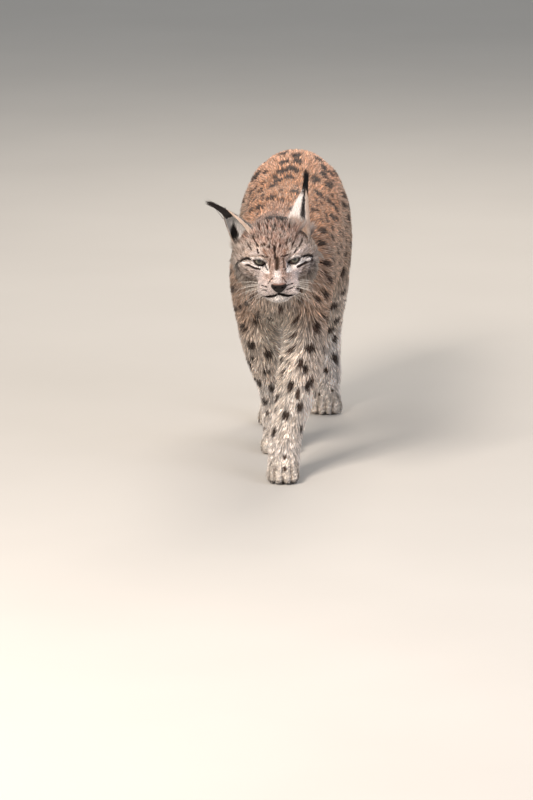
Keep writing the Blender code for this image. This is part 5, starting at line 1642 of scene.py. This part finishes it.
def locks(name, tree, markings, tufts, slot, pale):
    """A joined mesh of long tufts, each given as start, end, lift and width: from the skin near its start
    to just off the skin near its end."""
    starts, ends, lifts, widths = (np.array(part) for part in zip(*tufts))
    starts, ends = from_head(starts), from_head(ends)
    draw = np.random.default_rng(len(starts))
    roots, middles, tips, ups = [], [], [], []
    for start, end, lift in zip(starts, ends, lifts):
        root, normal = nearest(tree, start)
        at, lean = nearest(tree, (start + end) / 2)
        last, rise = nearest(tree, end)
        close = np.linalg.norm(end - last) < 0.012
        roots.append(root - normal * 0.001)
        middles.append(at + lean * lift * 0.9 if close else (root + end) / 2 + normal * lift * 0.4)
        tips.append(last + rise * lift if close else end)
        ups.append(unit(normal + lean))
    roots, middles, tips, ups = (np.array(part) for part in (roots, middles, tips, ups))
    shares, _ = coat_at(roots)
    tone = markings.tint(roots, shares)[0] * np.exp(draw.normal(0, 0.22, len(roots)))[:, None]
    tip_tone = mix(tone, linear(pale), draw.uniform(0.1, 0.8, len(roots)))
    place = to_head(roots)
    turn = np.arctan2(place[:, 0], place[:, 2] + 1) / (2 * math.pi) + 0.5
    patches = 0.02 + 0.96 * np.column_stack([turn, np.clip((place[:, 1] + 2) / 14, 0, 1)])
    arrays = tuft_arrays(roots, middles, tips, ups, widths, rings=3)
    claim(tuft_object(name, arrays, tone, tip_tone, ups, patches), slot)


def make_ruff(tree, markings):
    """The whiskered cheeks: rows of pointed locks down both sides of the face, each of many tufts."""
    draw = np.random.default_rng(41)
    tufts = []
    for line, (first, last), length, count in RUFF:
        spots = smooth_line(line, 12)
        for side in (1, -1):
            mirror = np.array([side, 1, 1])
            for i in range(count):
                share = min(max((i + draw.uniform(-0.3, 0.3)) / (count - 1), 0), 1)
                spot = spots[round(share * (len(spots) - 1))] * mirror
                way = unit((np.array(first) * (1 - share) + np.array(last) * share) * mirror)
                way = unit(way + draw.normal(0, 0.10, 3))
                long = length * draw.uniform(0.75, 1.1) * 100
                high = draw.uniform(0.006, 0.011)
                for _ in range(LOCK_TUFTS):
                    start = spot + draw.normal(0, 0.42, 3)
                    end = spot + way * long * draw.uniform(0.62, 1.0) + draw.normal(0, 0.16, 3)
                    tufts.append((start, end, high * draw.uniform(0.5, 1.0), draw.uniform(0.0012, 0.0021)))
    locks("ruff", tree, markings, tufts, "grey_fur", "#CFC5BC")


def make_ear_roots(tree, markings):
    """Soft hair that rises from the head over the foot of each ear."""
    draw = np.random.default_rng(43)
    tufts = []
    for root, way, _, _ in EARS.values():
        way = unit(np.array(way))
        for _ in range(EAR_ROOT_TUFTS):
            off = unit(draw.normal(0, 1, 3))
            off = unit(off - way * (off @ way)) * draw.uniform(2.6, 4.0)
            start = np.array(root) + off - way
            end = start + way * draw.uniform(1.2, 2.2) - off * 0.12 + draw.normal(0, 0.25, 3)
            tufts.append((start, end, 0.004, draw.uniform(0.0011, 0.0018)))
    locks("ear_roots", tree, markings, tufts, "ear_fur", "#D6CCC4")


# Whiskers


HAIR_RADIUS, HAIR_END, HAIR_DROOP = 0.00016, 0.00006, 0.30
PAD_ROWS = (-3.35, -3.85, -4.35, -4.8)


def hairs(name, starts, ways, lengths, slot):
    """Single long hairs: round tapered tubes that bend under their weight."""
    sides, rings = 5, 9
    tube = ring_faces(rings, sides)
    last = (rings - 1) * sides
    for k in range(1, sides - 1):
        tube += [(0, k + 1, k), (last, last + k, last + k + 1)]
    points, triangles = [], []
    for start, way, long in zip(starts, ways, lengths):
        triangles.append(np.array(tube) + len(points))
        side = unit(np.cross(way, [0.1, 0.2, 0.97]))
        up = np.cross(side, way)
        for t in np.linspace(0, 1, rings):
            at = start + way * long * t + np.array([0, 0, -1]) * HAIR_DROOP * long * t * t
            radius = HAIR_RADIUS * (1 - t) ** 0.7 + HAIR_END
            for turn in np.arange(sides) * (2 * math.pi / sides):
                points.append(at + (side * math.cos(turn) + up * math.sin(turn)) * radius)
    obj = mesh_from(name, np.array(points), np.vstack(triangles), WHISKER)
    edit_whole(obj, bpy.ops.mesh.normals_make_consistent, inside=False)
    claim(obj, slot)


def make_whiskers(tree):
    """Whiskers from four rows on each pad, and the stiff hairs over the eyes."""
    draw = np.random.default_rng(5)
    starts, ways, lengths = [], [], []
    for side in (1, -1):
        for row, height in enumerate(PAD_ROWS):
            for k in range(5):
                across = 2.3 + 0.48 * k + draw.uniform(-0.1, 0.1)
                along = -6.6 + 0.75 * k + 0.2 * row
                spot = from_head((across * side, along, height + draw.uniform(-0.08, 0.08)))
                starts.append(nearest(tree, spot)[0])
                way = turned((side * (0.9 + 0.1 * k), -0.35 + 0.30 * k, 0.12 - 0.14 * row))
                ways.append(unit(way + draw.normal(0, 0.06, 3)))
                lengths.append(draw.uniform(0.034, 0.058) * (1 - 0.12 * (k == 4)))
        for k in range(4):
            spot = from_head(((3.1 + 0.45 * k) * side, 0.0, 1.9 + 0.15 * k))
            starts.append(nearest(tree, spot)[0])
            ways.append(unit(turned((side * (0.25 + 0.12 * k), -0.55, 0.8))))
            lengths.append(draw.uniform(0.022, 0.034))
    hairs("whiskers", starts, ways, lengths, "pale_fur")


# Studio


def make_studio():
    """A plain pale floor and soft light from above, the front and the left."""
    bpy.ops.object.select_all(action="DESELECT")
    bpy.ops.mesh.primitive_plane_add(size=40.0, location=(0, 0, 0))
    floor = bpy.context.object
    floor.name = "floor"
    floor.data.materials.append(floor_material())
    world = bpy.data.worlds.new("studio")
    bpy.context.scene.world = world
    world.use_nodes = True
    back = world.node_tree.nodes["Background"]
    back.inputs["Color"].default_value = (*linear("#E4E6E8"), 1)
    back.inputs["Strength"].default_value = 0.60
    bpy.context.scene.view_settings.view_transform = "Standard"
    lights = [
        ("key", (-1.7, -3.5, 3.3), 1.4, 325.0, "#FFF1E4"),
        ("fill", (3.0, -2.4, 2.0), 2.6, 55.0, "#F1F1FF"),
        ("rear", (0.5, 3.0, 3.4), 2.0, 120.0, "#FFF1E2"),
    ]
    for name, place, size, power, tone in lights:
        data = bpy.data.lights.new(name, "AREA")
        data.size, data.energy, data.color = size, power, linear(tone)
        lamp = bpy.data.objects.new(name, data)
        bpy.context.scene.collection.objects.link(lamp)
        aim = Vector((0, 0, 0.4)) - Vector(place)
        lamp.matrix_world = Matrix.Translation(place) @ aim.to_track_quat("-Z", "Y").to_matrix().to_4x4()


FUR, SKIN, NOSE, LID, EYE, WHISKER = (
    fur_material(), skin_material(), nose_material(), lid_material(), eye_material(), whisker_material()
)

skin, lips = make_skin()
skin_points = read(skin.data)
skin_tree = tree_of(skin.data)
pattern = Markings(skin_tree, skin_points, read_normals(skin.data), lips)
paint(skin.data, "tint", pattern.tint(skin_points, coat_at(skin_points)[0])[0] * UNDERFUR_PAINTED_SHADE)
claim(skin, "grey_fur", *FLESH)
make_coat(skin, pattern)
make_eyes()
make_lids()
make_nose()
make_ears()
make_ruff(skin_tree, pattern)
make_ear_roots(skin_tree, pattern)
make_whiskers(skin_tree)
make_studio()
add_camera()
